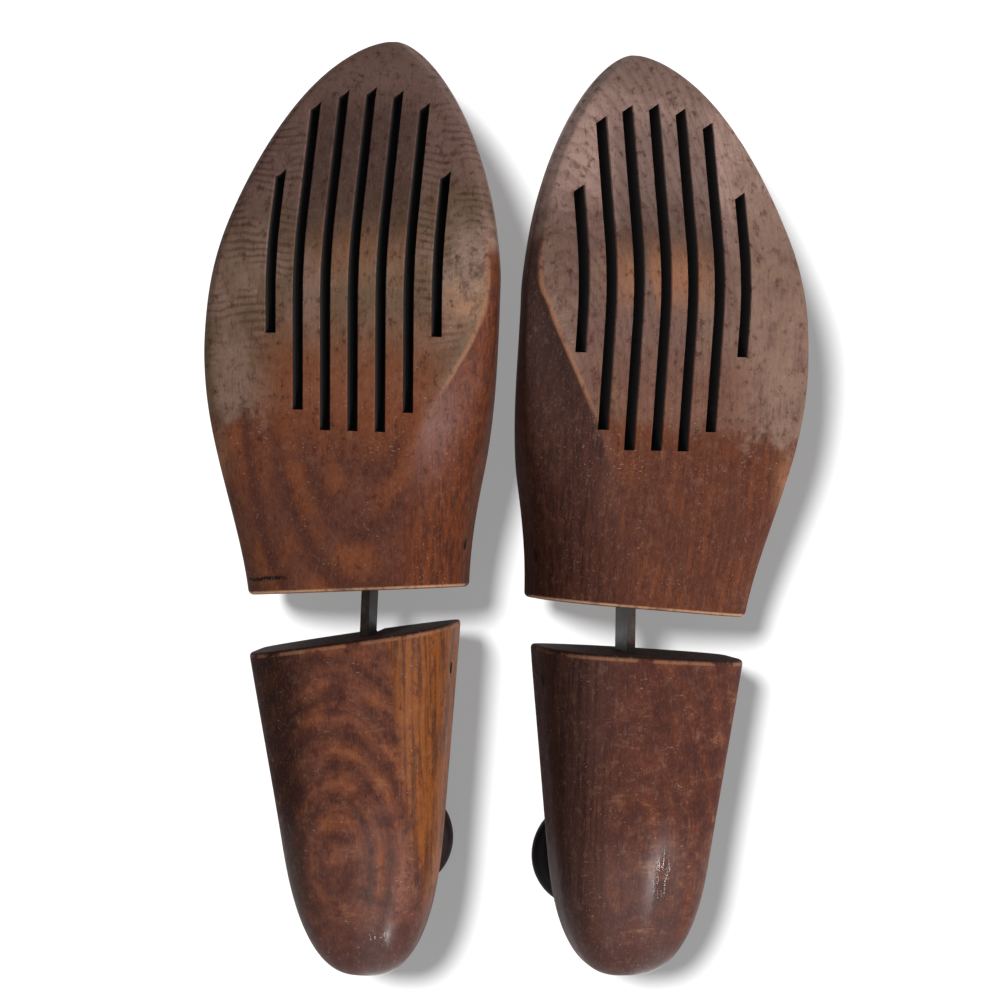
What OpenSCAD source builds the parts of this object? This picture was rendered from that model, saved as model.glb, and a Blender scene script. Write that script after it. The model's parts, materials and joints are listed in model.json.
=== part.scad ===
// A pair of hinged wooden shoe trees, lying with their soles up.
//
// Each tree is a forepart and a heel block of turned and sanded wood, joined by a flat steel
// link that swings on a drive pin in each block. A mushroom knob on the heel block folds the
// tree for fitting. The left tree is the mirror image of the right one.
//
// A tree is drawn in its own frame: x towards the arch of the foot, y towards the toe, z out
// of the sole, with the origin on the centre line, at the cut face and level with the tread.

/* [Forepart outline] */
// Length of the forepart, from its cut face to the tip of the toe
fore_len = 173; // [162:0.5:185]
// Half width at the cut face, arch side
rear_in = 31; // [29:0.5:36]
// Half width at the cut face, outer side
rear_out = 36.5; // [32:0.5:39]
// Half width at the ball of the foot, arch side
ball_in = 44; // [39:0.5:47]
// Half width at the ball of the foot, outer side
ball_out = 48; // [46:0.5:54]
// Distance of the widest point from the cut face, arch side
ball_in_y = 96.5; // [88:0.5:104]
// Distance of the widest point from the cut face, outer side
ball_out_y = 71.5; // [64:0.5:80]
// Offset of the toe tip from the centre line, towards the arch side
tip_in = 4; // [2:0.5:9]
// Fullness of the toe outline, arch side (2 is an ellipse)
toe_in_fullness = 1.6; // [1.5:0.05:2.2]
// Fullness of the toe outline, outer side
toe_out_fullness = 1.75; // [1.5:0.05:2.2]
// How early the sides flare from the cut face, arch side
flare_in = 0; // [0:0.05:1]
// How early the sides flare from the cut face, outer side
flare_out = 0.75; // [0:0.05:1]
// Slant of the forepart's cut face, arch side nearer the toe
cut_slant = 4.5; // [0:0.5:6]

/* [Forepart profile] */
// Distance of the tread line from the cut face
tread_y = 101; // [94:1:108]
// Rise of the waist towards the tread, in degrees
waist_slope = 9.5; // [6:0.5:12]
// Fall of the toe from the tread, in degrees
toe_spring = 16; // [12:0.5:18]
// Half length of the rounding at the tread
tread_round = 13; // [8:1:20]
// Depth of the block at the cut face
waist_depth = 50; // [46:1:56]
// Level of the vamp at the toe, below the tread
vamp_level = 39; // [36:1:42]
// Length of the rounded nose of the toe
nose_len = 24; // [18:1:30]

/* [Sole edge] */
// Width of the rounded edge of the sole
edge_w = 2.6; // [1.5:0.1:4]
// Crown of the sole across the ball
sole_crown = 1.6; // [0.8:0.1:2.4]
// Angle of the crease between the sole and the arch flank
crease_angle = 32; // [24:1:38]
// Where the edge of the sole turns into the crease
crease_start_y = 95; // [90:1:104]
// Where the crease fades out, towards the cut face
crease_end_y = 26; // [20:1:36]

/* [Flanks] */
// Depth of the middle of the arch flank below the sole, at the cut face
flank_in = 28; // [24:1:31]
// Depth of the middle of the outer flank below the sole, at the cut face
flank_out = 22; // [18:1:26]
// Height of the flat on each flank, at the cut face
flank_flat = 12; // [8:1:14]

/* [Vent slots] */
// Width of a slot
slot_w = 3.1; // [2.4:0.1:4]
// Spacing of the slots
slot_pitch = 8.6; // [8:0.1:9.4]
// Heel ends of the slots, from the middle slot outwards
slot_from = [49, 49, 55, 78]; // [45:1:85]
// Toe ends of the slots, from the middle slot outwards
slot_to = [156, 155, 151, 129]; // [125:1:160]
// Depth of the slot floor below the tread, at the heel ends
slot_floor = 18; // [14:0.5:20]
// Fall of the slot floor towards the toe, in degrees
slot_fall = 3.5; // [2:0.5:5]
// Slant of the toe end of a slot, in degrees
slot_slant = 35; // [0:5:45]

/* [Heel block] */
// Half width at the cut face, arch side
heel_in = 29.5; // [27:0.5:33]
// Half width at the cut face, outer side
heel_out = 35; // [32:0.5:39]
// Half width at the knob, arch side
heel_back_in = 23.2; // [21:0.1:26]
// Half width at the knob, outer side
heel_back_out = 25.3; // [22:0.1:27]
// Fullness of the rounded back
heel_fullness = 2.8; // [2:0.1:3.2]
// Where the rounding of the back begins
heel_round_y = 62; // [54:1:70]
// Level of the heel seat below the tread
seat_level = 14; // [11:0.5:18]
// Depth of the block at the knob
comb_depth = 38; // [35:0.5:44]
// Offset of the comb towards the arch side
comb_in = 5.5; // [0:0.5:7]
// Rounding of the dorsal corners at the cut faces
corner_r = 10; // [8:0.5:12]

/* [Hinge] */
// Gap between the two cut faces
hinge_gap = 14; // [12:0.5:18]
// Thickness of the link bar
link_t = 2.75; // [2:0.25:4]
// Offset of the link towards the arch side
hinge_in = 1.7; // [0:0.1:4]
// Depth of the link bar
link_h = 12; // [10:0.5:14]
// Level of the link's centre line below the tread
link_level = 36; // [32:0.5:39]
// Clearance on each side of the link in its kerf
kerf_clear = 0.3; // [0.2:0.05:0.5]
// Clearance above the link in its kerf
kerf_head = 0.8; // [0.6:0.1:1.2]
// Distance of the forepart pin from the cut face
fore_pin_y = 16; // [13:0.5:18]
// Distance of the heel pin from the heel block's cut face
heel_pin_y = 9; // [8:0.5:12]
// Diameter of the drive pins
pin_d = 3.6; // [3:0.1:4.5]
// Depth of the pin ends below the flanks
pin_sink = 1.2; // [0.8:0.1:2]
// Running clearance of the link on its pins, on the radius
pin_run = 0.05; // [0.02:0.01:0.1]
// Fit of a pin in the wood, on the radius
pin_seat = 0.01; // [0.005:0.005:0.02]

/* [Knob] */
// Diameter of the knob
knob_d = 35; // [30:1:40]
// Thickness of the knob's cap
knob_cap = 8.5; // [7:0.5:11]
// Diameter of the knob's neck
knob_neck_d = 15; // [12:0.5:18]
// Distance of the knob's face from the comb
knob_reach = 13; // [12:0.5:18]
// Distance of the knob from the heel block's cut face
knob_y = 68.5; // [60:0.5:74]
// Diameter of the knob's spigot
spigot_d = 10; // [8:0.5:12]
// Length of the knob's spigot
spigot_len = 20; // [14:1:24]
// Glue gap round the spigot, on the radius
glue_gap = 0.03; // [0.01:0.01:0.05]

/* [Right tree] */
// Place of the right tree's cut face, from the middle of the pair
right_place = [-50.7, -24.7]; // [-60:0.1:60]
// Turn of the right tree, toe towards the arch side
right_yaw = 2.1; // [-4:0.1:4]
// Lean of the right tree, arch side raised
right_roll = 9.3; // [0:0.1:18]
// Fold of the right tree at its heel pin
right_fold = 3.8; // [0:0.1:6]
// Turn of the right heel block about its cut face
right_turn = 2.8; // [0:0.1:6]
// Length of the right heel block
right_heel_len = 107.5; // [98:0.5:116]
// Slant of the right heel block's cut face, arch side nearer the toe
right_heel_slant = 7.5; // [0:0.5:9]
// Offset of the right vent slots towards the arch side
right_slots_in = 0; // [-2:0.1:2]
// How far the crease of the right forepart runs in across the waist
right_crease_in = 13; // [8:0.5:20]
// Where it leaves the outline
right_crease_from = 97; // [90:0.5:108]
// Where it has run in
right_crease_to = 45; // [30:0.5:60]
// How late it runs in
right_crease_late = 2.2; // [1:0.1:3]

/* [Left tree] */
// Place of the left tree's cut face, from the middle of the pair
left_place = [48.6, -31.1]; // [-60:0.1:60]
// Turn of the left tree, toe towards the arch side
left_yaw = -0.8; // [-4:0.1:4]
// Lean of the left tree, arch side raised
left_roll = 15; // [0:0.1:18]
// Fold of the left tree at its heel pin
left_fold = 1.2; // [0:0.1:6]
// Turn of the left heel block about its cut face
left_turn = 0.6; // [0:0.1:6]
// Length of the left heel block
left_heel_len = 102; // [98:0.5:116]
// Slant of the left heel block's cut face, arch side nearer the toe
left_heel_slant = 2.5; // [0:0.5:9]
// Offset of the left vent slots towards the arch side
left_slots_in = 1.6; // [-2:0.1:2]
// How far the crease of the left forepart runs in across the waist
left_crease_in = 18; // [8:0.5:20]
// Where it leaves the outline
left_crease_from = 104; // [90:0.5:108]
// Where it has run in
left_crease_to = 40; // [30:0.5:60]
// How late it runs in
left_crease_late = 1.3; // [1:0.1:3]

/* [Hidden] */
$fn = 48;
// Stations along each block, and points on each stretch of a half section
fore_stations = 38;
heel_stations = 28;
crown_steps = 5;
shoulder_steps = 6;
belly_steps = 7;
// Reach of a cutter past the wood that it cuts
over = 1;
// Half section of the end of the last station, where a loft closes
tip_gap = 0.02;
// Index of the tree: the mirror image has side -1
RIGHT = 1;
LEFT = -1;

function clamp01(t) = min(1, max(0, t));
function mix(a, b, t) = a + (b - a) * t;
function ease(t) = let (u = clamp01(t)) u * u * (3 - 2 * u);
function fall(t, fullness) = pow(1 - pow(clamp01(t), fullness), 1 / fullness);
function swell(t, flare) = (t * t * t - 2 * t * t + t) * flare + t * t * (3 - 2 * t);
function bezier(a, b, c, d, t) =
    let (s = 1 - t) s * s * s * a + 3 * s * s * t * b + 3 * s * t * t * c + t * t * t * d;

// Forepart: outline of the sole, as the x of each side at a distance y from the cut face
function fore_in(y) = y < ball_in_y
    ? mix(rear_in, ball_in, swell(y / ball_in_y, flare_in))
    : mix(tip_in, ball_in, fall((y - ball_in_y) / (fore_len - ball_in_y), toe_in_fullness));
function fore_out(y) = y < ball_out_y
    ? -mix(rear_out, ball_out, swell(y / ball_out_y, flare_out))
    : mix(tip_in, -ball_out, fall((y - ball_out_y) / (fore_len - ball_out_y), toe_out_fullness));

// Forepart: level of the sole along the centre line
function sole_level(y) =
    let (up = tan(waist_slope), down = tan(toe_spring), from = y - (tread_y - tread_round))
    from < 0 ? up * (from - tread_round)
    : from > 2 * tread_round ? -down * (from - tread_round)
    : up * (from - tread_round) - (up + down) * from * from / (4 * tread_round);

// Forepart: level of the instep and vamp, under the centre line
instep_y = 25;
vamp_end_y = fore_len - 8;
vamp_shape = 0.92;
function corner_lift(s) = s < corner_r ? corner_r - sqrt(corner_r ^ 2 - (corner_r - s) ^ 2) : 0;
function vamp_line(y) =
    let (t = pow(clamp01((y - instep_y) / (vamp_end_y - instep_y)), vamp_shape))
    mix(-vamp_level, sole_level(0) - waist_depth, (1 + cos(180 * t)) / 2) + corner_lift(y);

// One side of a section, from beside the top of the crown to the keel. The crown falls to the
// feather edge, a shoulder bends down to the flat of the flank, and a rounded belly ends at the
// keel. x is measured outwards from the top.
shoulder_pull = 0.62;
flank_pull = 0.45;
function half_section(crown_w, crown, kink, w, flat_top, flat_end, keel_x, keel_z, fullness) =
    let (
        dip = crown * (crown_w / w) ^ 2,
        lead = min(88, atan(2 * dip / crown_w) + kink),
        drop = flat_top - dip,
        pull = shoulder_pull * min((w - crown_w) / cos(lead), drop / sin(lead)),
        a = [crown_w, -dip],
        b = a + pull * [cos(lead), -sin(lead)],
        c = [w, -flat_top + flank_pull * drop],
        d = [w, -flat_top]
    )
    concat(
        [for (i = [1:crown_steps]) let (t = i / crown_steps) [crown_w * t, -dip * t * t]],
        [for (i = [1:shoulder_steps]) bezier(a, b, c, d, i / shoulder_steps)],
        [[w, -flat_end]],
        [for (i = [1:belly_steps]) let (q = 90 * i / belly_steps)
            [mix(keel_x, w, i == belly_steps ? 0 : pow(cos(q), 2 / fullness)),
             mix(-flat_end, keel_z, pow(sin(q), 2 / fullness))]]
    );

// A closed section from its two halves, with the top first
function whole_section(top, inner, outer) = concat(
    [top],
    [for (p = inner) top + p],
    [for (i = [len(outer) - 2:-1:0]) top + [-outer[i].x, outer[i].y]]
);

// Forepart: section at a distance y from the cut face. Towards the toe the flank is shallow; over
// the waist it deepens, and on the arch side the crease runs in across the sole.
toe_flank = 0.22;
ball_flank = 5.5;
toe_flat = 0.6;
small_w = 20;
crown_fade = 40;
belly_toe = 2;
belly_waist = 1.75;
belly_y = [20, 90];
waist_run = 58;
crease_fade = 32;
outer_fade_y = 62;
outer_in = 14;
outer_edge_y = [20, 70];
outer_crown = 4;
edge_kink = 48;
edge_run = 20;
centre_band = 0.15;
nose_fullness = 2.2;
right_crease = [right_crease_in, right_crease_from, right_crease_to, right_crease_late];
left_crease = [left_crease_in, left_crease_from, left_crease_to, left_crease_late];
function crease_inset(y, crease) =
    crease[0] * pow(sin(90 * clamp01((crease[1] - y) / (crease[1] - crease[2]))), crease[3]);
function fore_section(y, crease) =
    let (
        x_in = fore_in(y), x_out = fore_out(y),
        w = (x_in - x_out) / 2, mid = (x_in + x_out) / 2,
        nose = fall((y - (fore_len - nose_len)) / nose_len, nose_fullness),
        tip_level = (sole_level(fore_len) - vamp_level) / 2,
        top = mix(tip_level, sole_level(y), nose),
        keel = mix(tip_level, vamp_line(y), nose),
        depth = top - keel,
        waist_in = ease((crease_start_y - y) / waist_run),
        waist_out = ease((outer_fade_y - y) / outer_fade_y),
        inset = crease_inset(y, crease),
        edge = min(edge_w, w / 4),
        small = min(1, w / crown_fade),
        kink_in = y < crease_start_y
            ? crease_angle * ease((y - crease_end_y) / crease_fade)
            : mix(crease_angle, edge_kink, ease((y - crease_start_y) / edge_run)),
        kink_out = edge_kink * ease((y - outer_edge_y[0]) / (outer_edge_y[1] - outer_edge_y[0])),
        shallow = min(ball_flank, toe_flank * depth),
        thin = toe_flat * min(1, w / small_w),
        top_in = mix(shallow, flank_in - flank_flat / 2, waist_in),
        top_out = mix(shallow, flank_out - flank_flat / 2, waist_out),
        fullness = mix(belly_toe, belly_waist, ease((belly_y[1] - y) / (belly_y[1] - belly_y[0])))
    )
    whole_section(
        [mid, top],
        half_section(max(w - edge - inset, centre_band * w), sole_crown * small, kink_in, w,
                     top_in, top_in + mix(thin, flank_flat, waist_in), 0, -depth, fullness),
        half_section(w - edge - outer_in * waist_out, mix(sole_crown, outer_crown, waist_out) * small,
                     kink_out, w,
                     top_out, top_out + mix(thin, flank_flat, waist_out), 0, -depth, fullness)
    );

// Heel block: section at a distance y behind its cut face
heel_crown = [3.4, 4.6];
heel_crown_w = 0.55;
heel_belly = 1.8;
back_level = 19;
back_flank = 14;
back_rise = 1.5;
back_flat = 0.6;
function heel_section(y, len) =
    let (
        along = y / knob_y,
        round = fall((y - heel_round_y) / (len - heel_round_y), heel_fullness),
        w_in = mix(heel_in, heel_back_in, along) * round,
        w_out = mix(heel_out, heel_back_out, along) * round,
        seat = -seat_level - back_rise * ease(along),
        nose = seat - back_level,
        top = mix(nose, seat, round),
        full = mix(waist_depth, comb_depth, ease(along)),
        depth = top - mix(nose, seat - full, round),
        keel = corner_lift(y) - depth,
        scale = depth / full,
        back = y / len,
        crown = mix(heel_crown[0], heel_crown[1], ease(along)) * round,
        flat = flank_flat * scale * mix(1, back_flat, back),
        top_in = mix(flank_in - flank_flat / 2, back_flank, back) * scale,
        top_out = mix(flank_out - flank_flat / 2, back_flank, back) * scale
    )
    whole_section(
        [0, top],
        half_section(w_in * heel_crown_w, crown, 0, w_in, top_in, top_in + flat,
                     comb_in * round, keel, heel_belly),
        half_section(w_out * heel_crown_w, crown, 0, w_out, top_out, top_out + flat,
                     -comb_in * round, keel, heel_belly)
    );

// Stations of a loft: even along the body, then closing up towards its end
function stations(n, length, end) =
    let (body = round(n * 0.66))
    concat([for (i = [0:body - 1]) (length - end) * i / body],
           [for (i = [0:n - body])
               min(length - tip_gap, length - end + end * sin(90 * i / (n - body)))]);

slant_reach = 60;
toe_end = 45;
function shear(x, y, slant) = x * tan(slant) * clamp01(1 - y / slant_reach);
function fore_rings(crease) = [for (y = stations(fore_stations, fore_len, toe_end))
    [for (p = fore_section(y, crease)) [p.x, y + shear(p.x, y, cut_slant), p.y]]];
function heel_rings(len, slant) = [for (y = stations(heel_stations, len, len - heel_round_y))
    [for (p = heel_section(y, len)) [p.x, shear(p.x, y, slant) - y, p.y]]];

// A closed skin over rings of equal numbers of points
module loft(rings, flip) {
    n = len(rings[0]);
    last = len(rings) - 1;
    points = [for (r = rings) for (p = r) p];
    skin = [for (i = [0:last - 1]) for (j = [0:n - 1])
        let (a = i * n + j, b = i * n + (j + 1) % n, c = a + n, d = b + n)
        each [[a, b, d], [a, d, c]]];
    caps = [[for (j = [n - 1:-1:0]) j], [for (j = [0:n - 1]) last * n + j]];
    faces = concat(skin, caps);
    polyhedron(points, flip ? faces : [for (f = faces) [for (k = [len(f) - 1:-1:0]) f[k]]]);
}

// Hinge: places of the two pins in the tree's frame
fore_pin = [hinge_in, fore_pin_y, -link_level];
heel_pin = [hinge_in, -hinge_gap - heel_pin_y, -link_level];
kerf_w = link_t + 2 * kerf_clear;

// The x of a section's skin on one side, at a level
function skin_x(section, dir, level) = lookup(level, [for (p = section) if (p.x * dir > 0) [p.y, p.x]]);

// Turns of a point about the x axis, and from the heel block's own frame to the tree's
function turn_x(p, a) = [p.x, p.y * cos(a) - p.z * sin(a), p.y * sin(a) + p.z * cos(a)];
function turn_z(p, a) = [p.x * cos(a) - p.y * sin(a), p.x * sin(a) + p.y * cos(a), p.z];
function from_heel(p, turn, fold) =
    turn_x(turn_z(p, turn) - [0, hinge_gap, 0] - heel_pin, fold) + heel_pin;

// Height of a point of the tree over its origin once it leans and pitches toe down
function height(p, roll, pitch) =
    p.x * sin(roll) + (p.z * cos(pitch) - p.y * sin(pitch)) * cos(roll);
function lowest(points, roll, pitch) = min([for (p = points) height(p, roll, pitch)]);

// Knob: level of the comb and of the knob's shoulder and face at the knob's place
spot_depth = 1.8;
comb_at_knob = min([for (p = heel_section(knob_y, right_heel_len)) p.y]);
shoulder_level = comb_at_knob + spot_depth;
face_level = comb_at_knob - knob_reach;
knob_dome = 1.5;
knob_rim_r = (knob_cap - knob_dome) / 2;
knob_foot_t = 2;
knob_cove = 1.5;
function knob_rim(turn, fold) = [for (a = [0:10:350]) for (q = [0:15:90])
    let (r = knob_d / 2 - knob_rim_r * (1 - cos(q)))
    from_heel([comb_in + r * cos(a), -knob_y + r * sin(a),
               face_level + knob_dome + knob_rim_r * (1 - sin(q))], turn, fold)];
right_skin = [for (r = fore_rings(right_crease)) for (p = r) p];
left_skin = [for (r = fore_rings(left_crease)) for (p = r) p];

// The pitch at which the instep and the knob touch the ground together
function rest_pitch(roll, skin, knob, low = -8, high = 16, n = 16) =
    let (mid = (low + high) / 2)
    n == 0 ? mid
    : lowest(skin, roll, mid) > lowest(knob, roll, mid)
        ? rest_pitch(roll, skin, knob, mid, high, n - 1)
        : rest_pitch(roll, skin, knob, low, mid, n - 1);

right_pitch = rest_pitch(right_roll, right_skin, knob_rim(right_turn, right_fold));
left_pitch = rest_pitch(left_roll, left_skin, knob_rim(left_turn, left_fold));
right_lift = -lowest(right_skin, right_roll, right_pitch);
left_lift = -lowest(left_skin, left_roll, left_pitch);

// A tree's frame set down in the pair's frame
module lay_right() {
    translate([right_place.x, right_place.y, right_lift])
        rotate([0, 0, -right_yaw]) rotate([0, -right_roll, 0]) rotate([-right_pitch, 0, 0])
            children();
}
module lay_left() {
    translate([left_place.x, left_place.y, left_lift])
        mirror([1, 0, 0])
            rotate([0, 0, -left_yaw]) rotate([0, -left_roll, 0]) rotate([-left_pitch, 0, 0])
                children();
}

// Folds the heel block and what it carries about the heel pin
module folded(fold) {
    translate(heel_pin) rotate([fold, 0, 0]) translate(-heel_pin) children();
}

// A frame on the heel block's own centre line, at its cut face
module on_heel(turn) {
    translate([0, -hinge_gap, 0]) rotate([0, 0, turn]) children();
}

// A drive pin's hole or body, across the tree at a place on the centre line
module cross_pin(place, from_x, to_x, r) {
    translate([from_x, place.y, place.z]) rotate([0, 90, 0]) cylinder(h = to_x - from_x, r = r);
}

// The saw kerf for the link, open below, from the cut face to past the pin
module kerf(face_y, pin_y, dir) {
    reach = link_h / 2 + over;
    far = pin_y + dir * reach;
    near = face_y - dir * corner_r;
    translate([hinge_in - kerf_w / 2, min(near, far), -link_level - 2 * waist_depth])
        cube([kerf_w, abs(far - near), 2 * waist_depth + link_h / 2 + kerf_head]);
}

// The row of vent slots, their floors falling towards the toe. The toe ends slant the same way
// in both trees, so that they are not mirrored.
module vent_slots(side, slots_in) {
    rise = slot_w * tan(slot_slant);
    for (k = [-3:3]) {
        near = slot_from[abs(k)] - slot_from[0];
        far = slot_to[abs(k)] - slot_from[0];
        translate([slots_in + k * slot_pitch, slot_from[0], -slot_floor])
            rotate([-slot_fall, 0, 0])
                linear_extrude(height = slot_floor + (slot_to[0] - slot_from[0]) * sin(slot_fall) + over)
                    polygon([[-slot_w / 2, near], [slot_w / 2, near],
                             [slot_w / 2, far - (side < 0 ? rise : 0)],
                             [-slot_w / 2, far - (side > 0 ? rise : 0)]]);
    }
}

module forepart(side, crease, slots_in) {
    difference() {
        loft(fore_rings(crease), false);
        vent_slots(side, slots_in);
        kerf(0, fore_pin.y, 1);
        cross_pin(fore_pin, -ball_out, ball_in, pin_d / 2 + pin_seat);
    }
}

module heel_block(len, slant, turn) {
    difference() {
        on_heel(turn) difference() {
            loft(heel_rings(len, slant), true);
            translate([comb_in, -knob_y, comb_at_knob - over])
                cylinder(h = spot_depth + over, d = knob_neck_d + over);
            translate([comb_in, -knob_y, comb_at_knob - over])
                cylinder(h = spigot_len + spot_depth + 2 * over, r = spigot_d / 2 + glue_gap);
        }
        kerf(-hinge_gap, heel_pin.y, -1);
        cross_pin(heel_pin, -heel_out - over, heel_in + over, pin_d / 2 + pin_seat);
    }
}

module link() {
    span = fore_pin.y - heel_pin.y;
    translate([heel_pin.x - link_t / 2, heel_pin.y, heel_pin.z]) rotate([90, 0, 90])
        linear_extrude(height = link_t) difference() {
            union() {
                circle(d = link_h);
                translate([0, -link_h / 2]) square([span, link_h]);
                translate([span, 0]) circle(d = link_h);
            }
            circle(r = pin_d / 2 + pin_run);
            translate([span, 0]) circle(r = pin_d / 2 + pin_run);
        }
}

// A drive pin, its ends sunk below the skin of a section
module drive_pin(place, section) {
    cross_pin(place, skin_x(section, -1, place.z) + pin_sink, skin_x(section, 1, place.z) - pin_sink,
              pin_d / 2);
}
module forepart_pin() { drive_pin(fore_pin, fore_section(fore_pin_y, right_crease)); }
module heel_pin_body() { drive_pin(heel_pin, heel_section(heel_pin_y, right_heel_len)); }

// The knob, turned about its axis, with its foot on the flat in the comb
module knob_body() {
    cap_r = knob_d / 2;
    flat_r = cap_r - knob_rim_r;
    dome_r = (flat_r ^ 2 + knob_dome ^ 2) / (2 * knob_dome);
    reach = shoulder_level - face_level;
    translate([comb_in, -knob_y, shoulder_level]) mirror([0, 0, 1]) rotate_extrude() union() {
        translate([0, -spigot_len]) square([spigot_d / 2, spigot_len + over]);
        square([knob_neck_d / 2, knob_foot_t]);
        square([knob_neck_d / 2 - knob_cove, reach - knob_cap + over]);
        translate([0, reach - knob_cap]) {
            square([flat_r, knob_cap - knob_dome]);
            translate([flat_r, knob_rim_r]) circle(r = knob_rim_r);
            intersection() {
                translate([0, knob_cap - dome_r]) circle(r = dome_r, $fn = 180);
                translate([0, knob_rim_r]) square([flat_r, knob_cap]);
            }
        }
    }
}

module right_forepart() {
    color("saddlebrown") lay_right() forepart(RIGHT, right_crease, right_slots_in);
}
module right_heel_block() {
    color("sienna") lay_right() folded(right_fold)
        heel_block(right_heel_len, right_heel_slant, right_turn);
}
module right_link() { color("dimgray") lay_right() link(); }
module right_forepart_pin() { color("gray") lay_right() forepart_pin(); }
module right_heel_pin() { color("gray") lay_right() folded(right_fold) heel_pin_body(); }
module right_knob() { color("black") lay_right() folded(right_fold) on_heel(right_turn) knob_body(); }

module left_forepart() {
    color("saddlebrown") lay_left() forepart(LEFT, left_crease, left_slots_in);
}
module left_heel_block() {
    color("sienna") lay_left() folded(left_fold)
        heel_block(left_heel_len, left_heel_slant, left_turn);
}
module left_link() { color("dimgray") lay_left() link(); }
module left_forepart_pin() { color("gray") lay_left() forepart_pin(); }
module left_heel_pin() { color("gray") lay_left() folded(left_fold) heel_pin_body(); }
module left_knob() { color("black") lay_left() folded(left_fold) on_heel(left_turn) knob_body(); }

right_forepart();
right_heel_block();
right_link();
right_forepart_pin();
right_heel_pin();
right_knob();
left_forepart();
left_heel_block();
left_link();
left_forepart_pin();
left_heel_pin();
left_knob();
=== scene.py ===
"""Dresses a pair of hinged wooden shoe trees that lie with their soles up.

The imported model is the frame. Its hinge pins give the place and the lean of each tree, and
every block is drawn in its tree's own frame, in millimetres: x towards the arch, y towards the
toe and z out of the sole, with the origin on the centre line, at the cut face and level with the
tread. The wooden blocks and the knobs are modelled afresh with worn edges and sawn slots. The
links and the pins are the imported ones.
"""

import json
import logging
from collections.abc import Callable
from dataclasses import dataclass
from enum import Enum
from math import atan2, cos, pi, radians, sin, sqrt, tan

import bpy
import numpy as np
from mathutils import Matrix, Vector


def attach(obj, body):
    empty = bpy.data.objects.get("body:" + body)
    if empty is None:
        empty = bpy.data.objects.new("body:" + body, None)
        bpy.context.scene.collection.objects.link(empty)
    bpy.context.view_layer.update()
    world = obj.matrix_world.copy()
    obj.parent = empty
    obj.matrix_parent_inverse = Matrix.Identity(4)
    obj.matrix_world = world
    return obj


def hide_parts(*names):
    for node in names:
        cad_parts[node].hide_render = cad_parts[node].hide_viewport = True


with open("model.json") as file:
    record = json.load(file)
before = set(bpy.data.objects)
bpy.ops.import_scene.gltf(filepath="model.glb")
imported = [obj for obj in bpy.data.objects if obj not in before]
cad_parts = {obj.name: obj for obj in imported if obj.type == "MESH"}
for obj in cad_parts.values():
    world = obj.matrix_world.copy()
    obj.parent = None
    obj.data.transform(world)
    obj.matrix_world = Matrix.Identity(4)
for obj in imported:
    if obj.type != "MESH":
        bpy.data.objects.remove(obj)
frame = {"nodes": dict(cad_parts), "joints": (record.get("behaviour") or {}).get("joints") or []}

LOG = logging.getLogger("shoe_trees")
MM = 0.001
CORNER_ANGLE = radians(38)
# Millimetres that the rings shift along the block for each millimetre of depth
RING_LEAN = 0.35
# Smallest gap in millimetres at which two points of a skin stay apart
MERGE_MM = 0.01

# A mask or a measure is a socket or a plain number, a colour a socket or an sRGB hex value
Socket = bpy.types.NodeSocket
Level = Socket | float
Shade = Socket | str


class Side(Enum):
    """Which shoe a tree is for; the value names its nodes and bodies."""

    RIGHT = "right"
    LEFT = "left"

    @property
    def mirror(self) -> int:
        """Returns 1 for the right tree and -1 for its mirror image."""
        return 1 if self is Side.RIGHT else -1

    def node(self, piece: str) -> str:
        """Returns the name of this side's node for a piece."""
        return f"{self.value}_{piece}"


# ---------------------------------------------------------------- helpers for shapes


def ease(t: float) -> float:
    """Returns a smooth step from 0 to 1 as t goes from 0 to 1."""
    u = min(1.0, max(0.0, t))
    return u * u * (3 - 2 * u)


def mix(a: float, b: float, t: float) -> float:
    """Returns the value at t on the way from a to b."""
    return a + (b - a) * t


def fall(t: float, fullness: float) -> float:
    """Returns the height of a rounded end at t of its length, 2 being an ellipse."""
    u = min(1.0, max(0.0, t))
    return (1 - u**fullness) ** (1 / fullness)


def swell(t: float, flare: float) -> float:
    """Returns an S curve from 0 to 1 that starts with the slope flare."""
    return (t**3 - 2 * t * t + t) * flare + t * t * (3 - 2 * t)


def parabola_bend(y: float, rise: float, drop: float, half: float) -> float:
    """Returns the level of two straight slopes that meet in a rounded apex.

    Args:
        y: distance past the apex.
        rise: slope before the apex.
        drop: slope after the apex.
        half: half length of the rounding.

    Returns:
        The level, 0 where the two slopes would meet.
    """
    if y < -half:
        return rise * y
    if y > half:
        return -drop * y
    return rise * y - (rise + drop) * (y + half) ** 2 / (4 * half)


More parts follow.
